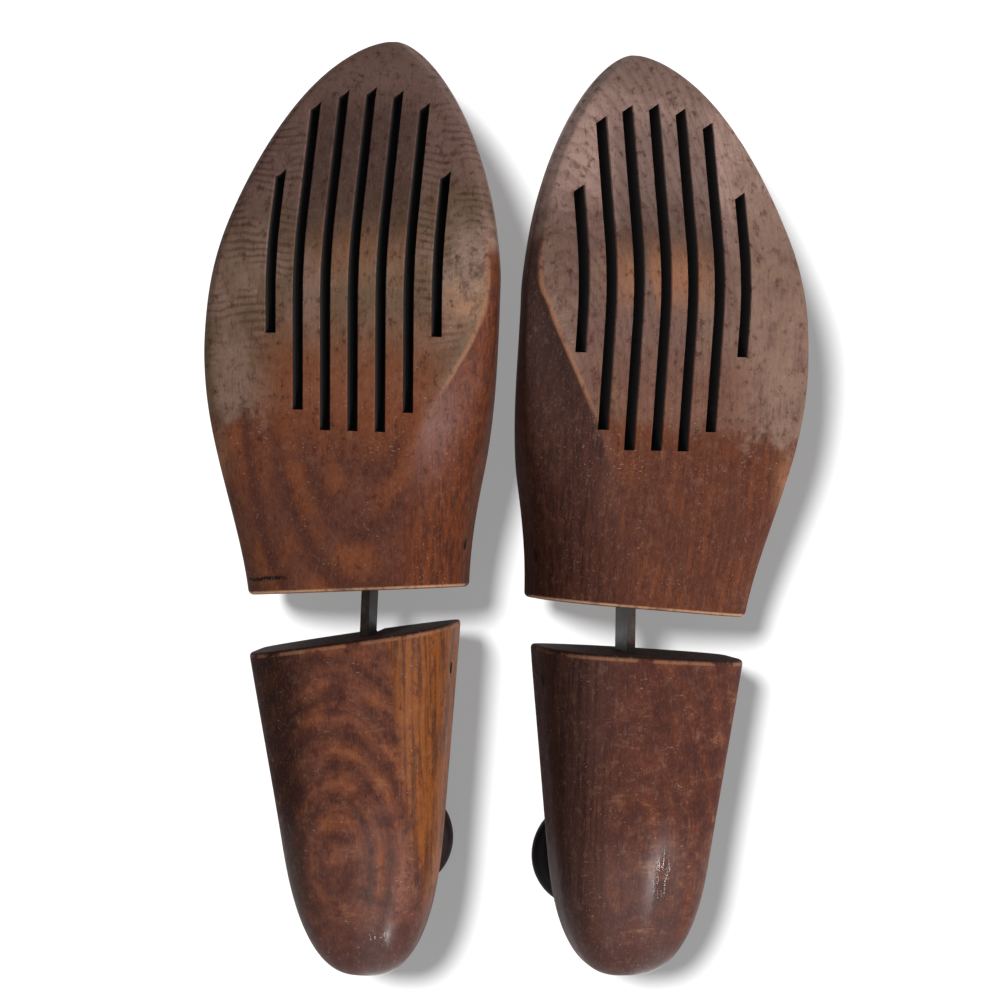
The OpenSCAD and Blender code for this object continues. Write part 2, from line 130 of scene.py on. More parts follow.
@dataclass
class HalfSection:
    """One side of a block's cross section, from beside its top to its keel.

    The crown falls gently, an edge or crease turns down into the shoulder, and the flank is
    flat before a rounded belly ends at the keel.
    """

    crown_width: float
    crown: float
    kink: float
    width: float
    flat_top: float
    flat_end: float
    keel_x: float
    keel_z: float
    fullness: float
    crown_steps: int = 12
    shoulder_steps: int = 16
    flat_steps: int = 4
    belly_steps: int = 16
    shoulder_pull: float = 0.62
    flank_pull: float = 0.45

    def points(self) -> list[tuple[float, float]]:
        """Draws the half section.

        Returns:
            The points outwards and down, x being measured outwards.
        """
        dip = self.crown * (self.crown_width / self.width) ** 2
        lead = min(radians(88), atan2(2 * dip, self.crown_width) + radians(self.kink))
        drop = self.flat_top - dip
        run = self.width - self.crown_width
        pull = self.shoulder_pull * min(run / cos(lead), drop / sin(lead))
        a = np.array([self.crown_width, -dip])
        b = a + pull * np.array([cos(lead), -sin(lead)])
        c = np.array([self.width, -self.flat_top + self.flank_pull * drop])
        d = np.array([self.width, -self.flat_top])
        out = []
        for i in range(1, self.crown_steps + 1):
            t = i / self.crown_steps
            out.append((self.crown_width * t, -dip * t * t))
        for i in range(1, self.shoulder_steps + 1):
            t = i / self.shoulder_steps
            s = 1 - t
            p = s**3 * a + 3 * s * s * t * b + 3 * s * t * t * c + t**3 * d
            out.append((p[0], p[1]))
        for i in range(1, self.flat_steps + 1):
            out.append((self.width, -mix(self.flat_top, self.flat_end, i / self.flat_steps)))
        for i in range(1, self.belly_steps + 1):
            q = pi / 2 * i / self.belly_steps
            out.append(
                (
                    mix(self.keel_x, self.width, max(0.0, cos(q)) ** (2 / self.fullness)),
                    mix(-self.flat_end, self.keel_z, sin(q) ** (2 / self.fullness)),
                )
            )
        return out


def whole_section(top: tuple[float, float], inner: HalfSection, outer: HalfSection) -> np.ndarray:
    """Joins two half sections into a closed ring.

    Args:
        top: x and z of the top of the crown.
        inner: the side towards the arch.
        outer: the other side, drawn outwards in the same way.

    Returns:
        The ring's points, starting at the top and going round by the arch side.
    """
    ring = [top]
    ring += [(top[0] + x, top[1] + z) for x, z in inner.points()]
    ring += [(top[0] - x, top[1] + z) for x, z in outer.points()[-2::-1]]
    return np.array(ring)


def soften(ring: np.ndarray, passes: int) -> np.ndarray:
    """Wears a ring's creases round by averaging neighbours.

    Args:
        ring: the ring of points.
        passes: how many times they are averaged.

    Returns:
        The softened ring.
    """
    for _ in range(passes):
        ring = ring * 0.5 + (np.roll(ring, 1, axis=0) + np.roll(ring, -1, axis=0)) * 0.25
    return ring


def only(obj: bpy.types.Object) -> None:
    """Selects one object alone and makes it active.

    Args:
        obj: the object.
    """
    bpy.ops.object.select_all(action="DESELECT")
    obj.select_set(True)
    bpy.context.view_layer.objects.active = obj


def skin(name: str, rows: list[np.ndarray], finishes: tuple[int, ...] = (0,)) -> bpy.types.Object:
    """Makes a closed skin from a flat grid by laying its rows on rings of points.

    Args:
        name: the new object's name.
        rows: rings of points in metres, all of one length, the first and the last being one
            point repeated.
        finishes: the material slot of each strip of faces along the skin, or of all of them.

    Returns:
        The new object, merged at its seam and poles, with its faces pointing outwards.
    """
    around = len(rows[0]) + 1
    bpy.ops.object.select_all(action="DESELECT")
    bpy.ops.mesh.primitive_grid_add(x_subdivisions=around - 1, y_subdivisions=len(rows) - 1, size=2)
    obj = bpy.context.object
    obj.name = name
    mesh = obj.data
    place = np.empty(len(mesh.vertices) * 3)
    mesh.vertices.foreach_get("co", place)
    place = place.reshape(-1, 3)
    column = np.rint((place[:, 0] + 1) / 2 * (around - 1)).astype(int)
    row = np.rint((place[:, 1] + 1) / 2 * (len(rows) - 1)).astype(int)
    strips = [
        finishes[int((f.center.x + 1) / 2 * (around - 1)) % len(finishes)] for f in mesh.polygons
    ]
    mesh.polygons.foreach_set("material_index", strips)
    table = np.array([np.vstack([r, r[:1]]) for r in rows])
    mesh.vertices.foreach_set("co", table[row, column].ravel())
    mesh.update()
    bpy.ops.object.mode_set(mode="EDIT")
    bpy.ops.mesh.select_all(action="SELECT")
    bpy.ops.mesh.remove_doubles(threshold=MERGE_MM * MM)
    bpy.ops.mesh.normals_make_consistent(inside=False)
    bpy.ops.object.mode_set(mode="OBJECT")
    return obj


def carve(obj: bpy.types.Object, cutter: bpy.types.Object, *finishes: bpy.types.Material) -> None:
    """Cuts one solid out of another and throws the cutter away.

    Args:
        obj: the solid that is cut.
        cutter: the solid that is taken away.
        finishes: the materials of the cut faces, by the cutter's material slots.
    """
    for finish in finishes:
        cutter.data.materials.append(finish)
    only(obj)
    cut = obj.modifiers.new("cut", "BOOLEAN")
    cut.operation = "DIFFERENCE"
    cut.solver = "MANIFOLD"
    cut.material_mode = "TRANSFER"
    cut.object = cutter
    bpy.ops.object.modifier_apply(modifier=cut.name)
    bpy.data.objects.remove(cutter)


def smooth(obj: bpy.types.Object) -> None:
    """Shades an object smooth, but for its sharp corners."""
    only(obj)
    bpy.ops.object.shade_smooth_by_angle(angle=CORNER_ANGLE)


# ---------------------------------------------------------------- the trees' places


@dataclass
class TreePlace:
    """Where one tree lies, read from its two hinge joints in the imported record."""

    side: Side
    pin_x: float = 1.7
    fore_pin_y: float = 16.0
    pin_z: float = -36.0
    hinge_gap: float = 14.0
    heel_pin_y: float = 9.0

    def __post_init__(self) -> None:
        """Works out the matrix from the tree's frame in millimetres to the row's in metres."""
        joints = {j["name"]: j for j in frame["joints"]}
        swing = joints[self.side.node("link_swing")]
        fold = joints[self.side.node("heel_fold")]
        fore_pin, heel_pin = Vector(swing["pos_m"]), Vector(fold["pos_m"])
        across = Vector(swing["axis"]) * self.side.mirror
        along = (fore_pin - heel_pin).normalized()
        up = across.cross(along) * self.side.mirror
        turn = Matrix((across, along, up)).transposed()
        origin = fore_pin - turn @ Vector((self.pin_x, self.fore_pin_y, self.pin_z)) * MM
        self.matrix = Matrix.Translation(origin) @ (turn * MM).to_4x4()
        self.heel_pin = Vector((self.pin_x, -self.hinge_gap - self.heel_pin_y, self.pin_z))
        self.fore_pin = Vector((self.pin_x, self.fore_pin_y, self.pin_z))

    def heel_matrix(self, turn: float, fold: float) -> Matrix:
        """Returns the matrix from the heel block's own frame to the row's.

        Args:
            turn: degrees the block is turned about its cut face.
            fold: degrees the block is folded about its pin.

        Returns:
            The matrix, in millimetres to metres.
        """
        pin = Matrix.Translation(self.heel_pin)
        folded = pin @ Matrix.Rotation(radians(fold), 4, "X") @ pin.inverted()
        face = Matrix.Translation((0, -self.hinge_gap, 0))
        return self.matrix @ folded @ face @ Matrix.Rotation(radians(turn), 4, "Z")

    def folded_matrix(self, fold: float) -> Matrix:
        """Returns the matrix from the hinge's frame, folded about the heel pin, to the row's."""
        pin = Matrix.Translation(self.heel_pin)
        return self.matrix @ pin @ Matrix.Rotation(radians(fold), 4, "X") @ pin.inverted()


def laid(points: np.ndarray, matrix: Matrix) -> np.ndarray:
    """Returns points moved by a matrix, one to a line."""
    full = np.array(matrix)
    return points @ full[:3, :3].T + full[:3, 3]


# ---------------------------------------------------------------- finishes


def linear(colour: str) -> tuple[float, float, float, float]:
    """Turns a screen colour into linear light.

    Args:
        colour: the sRGB colour, such as #aaaaaa.

    Returns:
        Linear red, green and blue, and alpha.
    """
    out = []
    for i in (1, 3, 5):
        v = int(colour[i : i + 2], 16) / 255
        out.append(v / 12.92 if v <= 0.04045 else ((v + 0.055) / 1.055) ** 2.4)
    return (out[0], out[1], out[2], 1.0)


def add(
    tree: bpy.types.NodeTree, kind: str, settings: dict | None = None, links: dict | None = None
) -> bpy.types.Node:
    """Adds a node, sets it up and links its inputs.

    Args:
        tree: the node tree.
        kind: the node's type name.
        settings: attributes of the node, or values of its inputs by name or number.
        links: sockets to link, by the input's name or number.

    Returns:
        The new node.
    """
    node = tree.nodes.new(kind)
    for key, value in (settings or {}).items():
        if isinstance(key, str) and hasattr(node, key):
            setattr(node, key, value)
        else:
            node.inputs[key].default_value = value
    for key, socket in (links or {}).items():
        tree.links.new(socket, node.inputs[key])
    return node


@dataclass(frozen=True)
class Figure:
    """The growth rings that a face cuts through: ovals about a middle, drawn out along y.

    Attributes:
        centre: x and y of the rings' middle, in millimetres; far off, the rings run straight.
        across: how many times tighter the rings lie across the block than along it.
        spacing: millimetres from one broad band to the next, along the block.
        wander: millimetres that the rings wander by.
        fine: how many fine lines lie in one broad band.
    """

    centre: tuple[float, float]
    across: float
    spacing: float
    wander: float
    fine: float = 5.0


@dataclass
class Painter:
    """Builds the layers of a finish on one material, in a frame given in millimetres."""

    name: str
    matrix: Matrix

    def __post_init__(self) -> None:
        """Makes the material and turns Object coordinates into the given frame."""
        self.material = bpy.data.materials.new(self.name)
        self.material.use_nodes = True
        self.tree = self.material.node_tree
        self.shader = self.tree.nodes["Principled BSDF"]
        place, turn, size = self.matrix.decompose()
        coordinates = add(self.tree, "ShaderNodeTexCoord")
        mapping = add(
            self.tree,
            "ShaderNodeMapping",
            {"vector_type": "TEXTURE"},
            {"Vector": coordinates.outputs["Object"]},
        )
        mapping.inputs["Location"].default_value = place
        mapping.inputs["Rotation"].default_value = turn.to_euler()
        mapping.inputs["Scale"].default_value = size
        self.here = mapping.outputs["Vector"]

    def maths(self, kind: str, a: Level, b: Level = 0.0, c: Level = 0.0) -> Socket:
        """Works out a Math node on sockets or numbers.

        Args:
            kind: the node's operation.
            a: the first value.
            b: the second value.
            c: the third value.

        Returns:
            The socket of the result.
        """
        node = add(self.tree, "ShaderNodeMath", {"operation": kind})
        for i, value in enumerate((a, b, c)):
            if isinstance(value, (int, float)):
                node.inputs[i].default_value = value
            else:
                self.tree.links.new(value, node.inputs[i])
        return node.outputs[0]

    def axis(self, letter: str) -> Socket:
        """Returns one coordinate of the place on the wood, in millimetres."""
        node = add(self.tree, "ShaderNodeSeparateXYZ", None, {0: self.here})
        return node.outputs[letter]

    def stretched(
        self, x: float, y: float, z: float, turn: float = 0.0, shift: float = 0.0
    ) -> Socket:
        """Returns the coordinates divided by three grain sizes in millimetres.

        Args:
            x: grain size across.
            y: grain size along.
            z: grain size through.
            turn: degrees the grain is turned in the plane of the sole.
            shift: an offset that gives each pattern its own place.

        Returns:
            The vector socket.
        """
        turned = add(
            self.tree,
            "ShaderNodeMapping",
            {"Location": (shift, shift * 1.7, shift * 0.6), "Rotation": (0, 0, radians(turn))},
            {"Vector": self.here},
        )
        sized = add(
            self.tree,
            "ShaderNodeMapping",
            {"Scale": (1 / x, 1 / y, 1 / z)},
            {"Vector": turned.outputs[0]},
        )
        return sized.outputs[0]

    def noise(
        self, vector: Socket, detail: float = 3.0, rough: float = 0.55, distortion: float = 0.0
    ) -> Socket:
        """Lays a noise of one unit's grain on a vector.

        Args:
            vector: the coordinates, already divided by the grain's size.
            detail: how many finer layers are added.
            rough: how strong the finer layers are.
            distortion: how far the pattern is pulled about.

        Returns:
            The socket of the noise, about 0.5 on average.
        """
        node = add(
            self.tree,
            "ShaderNodeTexNoise",
            {"Scale": 1.0, "Detail": detail, "Roughness": rough, "Distortion": distortion},
            {"Vector": vector},
        )
        return node.outputs[0]

    def along(
        self, letter: str, shape: Callable[[float], float], low: float, high: float, count: int = 16
    ) -> Socket:
        """Returns a shape's own function of one coordinate, as a curve between two places.

        Args:
            letter: the coordinate.
            shape: the function, of millimetres and to millimetres.
            low: where the curve starts.
            high: where it ends.
            count: the number of its points.

        Returns:
            The socket of the function's value.
        """
        values = [shape(mix(low, high, i / (count - 1))) for i in range(count)]
        least, most = min(values), max(values)
        part = add(
            self.tree,
            "ShaderNodeMapRange",
            {"From Min": low, "From Max": high},
            {0: self.axis(letter)},
        )
        node = add(self.tree, "ShaderNodeFloatCurve", None, {"Value": part.outputs[0]})
        points = node.mapping.curves[0].points
        for i, value in enumerate(values):
            level = (value - least) / (most - least)
            if i in (0, count - 1):
                points[0 if i == 0 else -1].location = (i / (count - 1), level)
            else:
                points.new(i / (count - 1), level)
        node.mapping.update()
        return self.maths("MULTIPLY_ADD", node.outputs[0], most - least, least)

    def rings(self, figure: Figure, lines: float) -> Socket:
        """Returns a value that climbs from 0 to 1 from each ring to the next.

        Args:
            figure: the rings.
            lines: how many rings lie in one of the figure's broad bands.

        Returns:
            The socket.
        """
        # The rings wander over 16 to 26 mm, as a knot bends them
        wander = self.noise(self.stretched(16, 26, 20, 0, figure.spacing), 2.0, 0.5)
        x = self.maths("SUBTRACT", self.axis("X"), figure.centre[0])
        y = self.maths("SUBTRACT", self.axis("Y"), figure.centre[1])
        x = self.maths("MULTIPLY", x, figure.across)
        span = self.maths("ADD", self.times(x, x), self.times(y, y))
        level = self.maths("MULTIPLY_ADD", wander, figure.wander, self.maths("SQRT", span))
        level = self.maths("MULTIPLY_ADD", self.axis("Z"), RING_LEAN, level)
        return self.maths("FRACT", self.maths("MULTIPLY", level, lines / figure.spacing))

    def step(self, value: Socket, low: float, high: float, top: float = 1.0) -> Socket:
        """Makes a smooth mask from a value.

        Args:
            value: the socket that is looked at.
            low: where the mask is 0.
            high: where it is full; below low, the mask falls instead of rising.
            top: the full mask.

        Returns:
            The mask's socket.
        """
        node = add(
            self.tree,
            "ShaderNodeMapRange",
            {"interpolation_type": "SMOOTHSTEP", "From Min": low, "From Max": high, "To Max": top},
            {"Value": value},
        )
        return node.outputs[0]

    def bump_mask(self, letter: str, centre: float, reach: float, soft: float) -> Socket:
        """Returns a mask that is 1 near a place on one axis and fades out on both sides."""
        off = self.maths("ABSOLUTE", self.maths("SUBTRACT", self.axis(letter), centre))
        return self.step(off, reach + soft, reach - soft)

    def blend(self, below: Shade, above: Shade, mask: Level) -> Socket:
        """Lays one colour over another.

        Args:
            below: the colour so far.
            above: the colour that is laid over it.
            mask: how much of it shows.

        Returns:
            The socket of the new colour.
        """
        node = add(self.tree, "ShaderNodeMix", {"data_type": "RGBA"})
        for index, value in ((6, below), (7, above)):
            if isinstance(value, str):
                node.inputs[index].default_value = linear(value)
            else:
                self.tree.links.new(value, node.inputs[index])
        if isinstance(mask, (int, float)):
            node.inputs[0].default_value = mask
        else:
            self.tree.links.new(mask, node.inputs[0])
        return node.outputs[2]

    def times(self, *masks: Level) -> Socket:
        """Multiplies masks.

        Args:
            masks: sockets or numbers, the first being a socket.

        Returns:
            The socket of their product.
        """
        out = masks[0]
        for mask in masks[1:]:
            out = self.maths("MULTIPLY", out, mask)
        return out

    def finish(
        self, colour: Socket, roughness: Socket, height: Socket, depth_mm: float
    ) -> bpy.types.Material:
        """Links the layers to the shader and returns the material.

        Args:
            colour: the colour socket.
            roughness: the roughness socket.
            height: the height socket of the bump, 0 to 1.
            depth_mm: the height of the bump in millimetres.

        Returns:
            The material.
        """
        self.tree.links.new(colour, self.shader.inputs["Base Color"])
        self.tree.links.new(roughness, self.shader.inputs["Roughness"])
        bump = add(
            self.tree,
            "ShaderNodeBump",
            {"Strength": 1.0, "Distance": depth_mm * MM},
            {"Height": height},
        )
        self.tree.links.new(bump.outputs[0], self.shader.inputs["Normal"])
        return self.material


@dataclass(frozen=True)
class StainedWood:
    """Worn brown stain and old wax over an open-pored hardwood, as the heel blocks have it.

    The stain sits in the pores and in the dense part of each ring, so the rings show as dark
    bands with a mottled edge.
    """

    name: str
    figure: Figure
    base: str = "#643b2e"
    warm: str = "#7a452c"
    dark: str = "#422623"
    pale: str = "#a88873"
    pore: str = "#2a1816"
    band: float = 0.75
    line: float = 0.35
    mottle: float = 0.75
    scuff: float = 0.35
    speck: float = 0.4
    relief: float = 0.07
    gloss: float = 0.2
    matt: float = 0.72
    shine: float = 0.26
    dull: float = 0.05
    rubbed: str = "#9a6a50"
    # The cut face's colour: dark end grain with painted shade over it
    cut_face_grain_and_shade: str = "#33231f"
    flank: str = "#854a21"
    flank_dark: str = "#59311c"
    flank_shows: float = 1.0
    flank_turn: float = 0.0
    flank_slope: float = 0.1
    flank_gloss: float = 0.3
    nose_gloss: float = 0.3
    gloss_at: float = 6.0
    flank_between: tuple = (10.0, 15.0)
    # Painted shade on the outer side: the span of x over which it grows, in millimetres
    painted_shade_span: tuple = (-8.0, -21.0)
    dust: str = "#b39a86"
    # The colour of the painted shade on the outer side
    painted_shade_colour: str = "#20120f"

    def build(self, matrix: Matrix, block: "Forepart | HeelBlock") -> bpy.types.Material:
        """Builds the finish on one block.

        Args:
            matrix: the block's frame, millimetres to metres.
            block: the piece, whose outlines place the worn parts.

        Returns:
            The material.
        """
        paint = Painter(self.name, matrix)
        ring = paint.rings(self.figure, 1.0)
        line = paint.rings(self.figure, self.figure.fine)
        # Stain lies in clouds of 11 by 19 mm, mottled by grain of 2.4 by 3.4 mm
        clouds = paint.noise(paint.stretched(11, 19, 11, 0, 3), 5.0, 0.65)
        grain = paint.noise(paint.stretched(2.4, 3.4, 2.4, 0, 11), 4.0, 0.66)
        band = paint.times(paint.step(ring, 0.1, 0.6), paint.step(ring, 0.99, 0.66))
        band = paint.times(band, paint.step(clouds, 0.3, 0.55))
        late = paint.times(paint.step(line, 0.35, 0.9), paint.step(line, 1.0, 0.9))
        colour = paint.blend(self.base, self.warm, paint.step(clouds, 0.42, 0.62))
        colour = paint.blend(colour, self.dark, paint.times(band, self.band))
        colour = paint.blend(colour, self.dark, paint.times(late, self.line))
        colour, polish, specky = self.wear_and_painted_light(paint, block, colour, late)
        # Open pores, 7 mm long and drawn 0.6 mm wide, since real ones are narrower than a pixel
        fibre = paint.noise(paint.stretched(0.6, 7.0, 1.2, 0, 7), 3.0, 0.7)
        pores = paint.step(fibre, 0.54, 0.74)
        colour = paint.blend(colour, self.pore, paint.times(pores, 0.4))
        colour = paint.blend(colour, self.pale, paint.step(fibre, 0.42, 0.26, 0.16))
        colour = paint.blend(colour, self.dark, paint.step(grain, 0.52, 0.72, self.mottle))
        colour = paint.blend(colour, self.pale, paint.step(grain, 0.46, 0.3, self.mottle * 0.13))
        # Scuffs of 0.45 by 1.2 mm, and dust and dried wax in dots of 1.1 by 0.6 mm
        scuff = paint.noise(paint.stretched(0.45, 1.2, 0.6, 9, 41), 3.0, 0.75)
        colour = paint.blend(colour, self.pore, paint.step(scuff, 0.54, 0.72, self.scuff))
        colour = paint.blend(colour, self.pale, paint.step(scuff, 0.44, 0.26, self.scuff * 0.7))
        dots = paint.noise(paint.stretched(1.1, 0.6, 0.8, 15, 17), 1.0, 0.5)
        speck = paint.times(paint.step(dots, 0.67, 0.75), specky)
        colour = paint.blend(colour, self.dust, paint.times(speck, self.speck))
        # Wax shines where hands have polished it, and is matt elsewhere
        rough = paint.maths("MULTIPLY_ADD", polish, self.gloss - self.matt, self.matt)
        rough = paint.maths("MULTIPLY_ADD", grain, 0.24, paint.maths("SUBTRACT", rough, 0.12))
        height = paint.maths("MULTIPLY_ADD", pores, -0.3, 1.0)
        height = paint.maths("MULTIPLY_ADD", grain, -0.5, height)
        shine = paint.maths("MULTIPLY_ADD", polish, self.shine, self.dull)
        paint.tree.links.new(shine, paint.shader.inputs["Specular IOR Level"])
        return paint.finish(colour, rough, height, self.relief)

    def wear_and_painted_light(
        self,
        paint: Painter,
        block: "HeelBlock",
        colour: Socket,
        late: Socket,
    ) -> tuple[Socket, Socket, Socket]:
        """Adds the worn parts of a heel block, and painted shade on its outer side, at its nose and
        on its cut face.

        Args:
            paint: the painter.
            block: the piece.
            colour: the colour so far.
            late: the mask of the fine lines; not used here.

        Returns:
            The colour, the mask of polished parts and the mask of speckled parts.
        """
        x, y, z = paint.axis("X"), paint.axis("Y"), paint.axis("Z")
        patches = paint.noise(paint.stretched(8, 7, 8, 0, 23), 3.0, 0.6)
        # The stain is rubbed off in short strokes across the block, 11 by 3.6 mm
        arcs = paint.noise(paint.stretched(11, 3.6, 10, 0, 37), 5.0, 0.7, 0.6)
        rubbed = paint.times(
            paint.step(arcs, 0.5, 0.7), paint.step(z, -30.0, -20.0), paint.step(patches, 0.44, 0.6)
        )
        colour = paint.blend(colour, self.rubbed, paint.times(rubbed, 0.55))
        colour = paint.blend(colour, self.dark, paint.times(paint.step(patches, 0.52, 0.36), 0.6))
        reach = paint.maths("MULTIPLY_ADD", patches, 8.0, paint.maths("SUBTRACT", x, 4.0))
        reach = paint.maths("MULTIPLY_ADD", y, self.flank_slope, reach)
        flank = paint.times(paint.step(reach, *self.flank_between), self.flank_shows)
        # Painted shade: the outer side is darkened where it turns away from the lamps
        colour = paint.blend(colour, self.painted_shade_colour, paint.step(x, *self.painted_shade_span, 0.85))
        # The flank is streaked lengthwise, 1.6 by 55 mm
        streaks = paint.noise(paint.stretched(1.6, 55, 4.0, self.flank_turn, 29), 3.0, 0.6)
        streaked = paint.blend(self.flank, self.flank_dark, paint.step(streaks, 0.44, 0.62))
        colour = paint.blend(colour, streaked, flank)
        # Painted shade: the nose is darkened towards its end
        colour = paint.blend(colour, self.dark, paint.step(y, -80.0, -98.0, 0.8))
        nose = paint.step(y, -45.0, -70.0)
        streak = paint.times(paint.bump_mask("X", self.gloss_at, 4.0, 5.0), nose)
        polish = paint.maths("MULTIPLY_ADD", nose, self.nose_gloss, streak)
        polish = paint.maths("MAXIMUM", polish, paint.times(flank, self.flank_gloss))
        # Behind the slanted cut face the edge is rubbed pale, and the face is dark end grain,
        # deepened by painted shade
        front = paint.maths("SUBTRACT", y, paint.maths("MULTIPLY", x, tan(radians(block.slant))))
        colour = paint.blend(colour, self.cut_face_grain_and_shade, paint.step(front, -1.0, -0.3))
        edge = paint.times(
            paint.step(front, -2.0, -1.4),
            paint.step(front, -0.4, -0.9),
            paint.step(patches, 0.4, 0.5),
        )
        colour = paint.blend(colour, self.rubbed, paint.times(edge, 0.6))
        return colour, polish, paint.step(patches, 0.5, 0.62)


@dataclass(frozen=True)
class ForepartWood(StainedWood):
    """The same wood on a forepart: grey over the ball, with an arch flank that is orange, or dark
    with painted shade.

    The shoe's lining has dulled the ball and the toe to a taupe grey that stops at a line across
    the waist, and has rubbed the ribs between the slots to bare copper-coloured wood.
    """

    grey: str = "#6f5a48"
    taupe: str = "#866c5e"
    mauve: str = "#7a5f57"
    tip: str = "#80645b"
    flank: str = "#693620"
    flank_dark: str = "#4d281b"
    rubbed: str = "#98684c"
    grey_from: float = 57.0
    toe_from: float = 128.0
    ribs: tuple = (102.0, 2.0)
    outer_pale: float = 0.0
    # Where the painted highlight at the outer waist lies
    waist_highlight_at: tuple = (-43.0, 40.0)
    chip: float = 1.0
    between: float = 0.85
    waves: float = 0.5
    ripple: float = 2.3
    crest: float = 0.45
    rib_dark: float = 0.55
    inner_pale: float = 1.0
    toe_lines: float = 0.0
    outer_tan: str = "#8a7566"
    ridge: float = 0.8
    sheen: float = 0.55
    # How much painted shade darkens the arch flank towards the ball
    painted_shade_on_flank: float = 0.0
    rear_spread: float = 5.0
    ridge_gloss: float = 0.35
    copper: str = "#b58a6b"
    copper_pale: str = "#a88c7c"
    rib_shade: str = "#2c1f1b"
    flank_painted_shade: str = "#1f100e"
    # The colour of the painted sheen beside the crease
    sheen_colour: str = "#8f6c66"
    crack: str = "#1c100e"

    def wear_and_painted_light(
        self,
        paint: Painter,
        block: "Forepart",
        colour: Socket,
        late: Socket,
    ) -> tuple[Socket, Socket, Socket]:
        """Adds the worn parts of a forepart, and its painted shade, sheen and highlights.

        Args:
            paint: the painter.
            block: the piece, whose crease places the arch flank.
            colour: the colour so far.
            late: the mask of the fine lines.

        Returns:
            The colour, the mask of polished parts and the mask of speckled parts.
        """
        x, y, z = paint.axis("X"), paint.axis("Y"), paint.axis("Z")
        ragged = paint.noise(paint.stretched(7, 9, 7, 0, 51), 3.0, 0.65)
        clouds = paint.noise(paint.stretched(10, 16, 10, 0, 57), 3.0, 0.6)
        crease = paint.maths("SUBTRACT", x, paint.along("Y", block.crease_x, 0.0, block.length - 2))
        spread = paint.maths("MULTIPLY_ADD", paint.step(y, 52.0, 22.0), self.rear_spread, 0.5)
        arch = paint.step(paint.maths("DIVIDE", crease, spread), -1.0, 1.0)
        arch = paint.times(arch, paint.step(y, block.crease_from + 12.0, block.crease_from + 2.0))
        # The sole's mask follows the toe spring down by 16 mm
        level = paint.maths("MULTIPLY_ADD", paint.step(y, 100.0, 172.0), 16.0, z)
        sole = paint.times(paint.maths("SUBTRACT", 1.0, arch), paint.step(level, -24.0, -18.0))

        # The lining has greyed the ball and the toe up to a ragged line across the waist
        place = paint.maths("MULTIPLY_ADD", ragged, 26.0, paint.maths("SUBTRACT", y, 13.0))
        place = paint.maths("MULTIPLY_ADD", x, -0.12, place)
        greyed = paint.times(paint.step(place, self.grey_from - 5.0, self.grey_from + 5.0), sole)
        worn = paint.blend(self.grey, self.taupe, paint.step(clouds, 0.42, 0.62))
        toe = paint.step(place, self.toe_from - 22, self.toe_from + 8)
        worn = paint.blend(worn, self.mauve, toe)
        tip = paint.step(place, self.toe_from + 20, self.toe_from + 34)
        worn = paint.blend(worn, self.tip, tip)
        # The figure ripples across the grain beside the slots
        patch = paint.noise(paint.stretched(12, 9, 12, 20, 71), 2.0, 0.5)
        sway = paint.noise(paint.stretched(13, 34, 30, 0, 83), 1.0, 0.5)
        swirl = paint.maths("MULTIPLY_ADD", sway, 7.0, y)
        strokes = paint.maths("SINE", paint.maths("MULTIPLY", swirl, 2 * pi / self.ripple))
        strokes = paint.maths("MULTIPLY_ADD", ragged, 3.2, strokes)
        rippled = paint.times(
            paint.step(strokes, 1.2, 2.6),
            paint.step(paint.maths("ABSOLUTE", x), 12.0, 24.0),
            paint.step(patch, 0.4, 0.6),
            paint.step(y, 62.0, 84.0),
        )
        worn = paint.blend(worn, self.dark, paint.times(rippled, self.waves))
        # Smudges of 6 by 4 mm
        smudge = paint.noise(paint.stretched(6, 4, 6, -25, 77), 4.0, 0.7)
        worn = paint.blend(worn, self.dark, paint.step(smudge, 0.54, 0.72, 0.45))
        worn = paint.blend(worn, self.dark, paint.times(late, self.toe_lines))
        outer = paint.times(paint.step(x, -16.0, -28.0), self.outer_pale)
        worn = paint.blend(worn, self.outer_tan, paint.times(outer, paint.step(ragged, 0.3, 0.6)))
        inner = paint.times(
            paint.step(x, 22.0, 34.0), paint.bump_mask("Y", 97.0, 14.0, 10.0), self.inner_pale
        )
        bare = paint.blend(self.copper, self.copper_pale, paint.step(place, 82.0, 96.0))
        worn = paint.blend(worn, bare, paint.times(inner, paint.step(smudge, 0.72, 0.35)))
        # Painted shade darkens the middle of the toe among the slots
        shaded = paint.times(
            paint.step(paint.maths("ABSOLUTE", x), 19.0, 14.0),
            paint.bump_mask("Y", 128.0, 24.0, 8.0),
        )
        worn = paint.blend(worn, self.rib_shade, paint.times(shaded, self.rib_dark))
        colour = paint.blend(colour, worn, paint.times(greyed, 0.92))

        # The ribs between the slots keep their brown, and their crests are rubbed bare
        rib = paint.noise(paint.stretched(8.6, 30, 60, 0, 61), 1.0, 0.5)
        between = paint.times(
            paint.step(paint.maths("ABSOLUTE", x), 36.0, 20.0),
            paint.bump_mask("Y", 62.0, 16.0, 14.0),
            sole,
        )
        colour = paint.blend(colour, self.warm, paint.times(between, self.between))
        tread, middle = self.ribs
        crest = paint.times(
            paint.bump_mask("Y", tread, 8.0, 8.0),
            paint.bump_mask("X", middle, 15.0, 8.0),
            paint.step(rib, 0.3, 0.45),
            sole,
        )
        colour = paint.blend(colour, self.rubbed, paint.times(crest, self.crest))

        # The arch flank is streaked lengthwise, 1.1 by 26 mm
        streaks = paint.noise(paint.stretched(1.1, 26, 3.0, 0, 29), 3.0, 0.65)
        side = paint.blend(self.flank, self.flank_dark, paint.step(streaks, 0.42, 0.64))
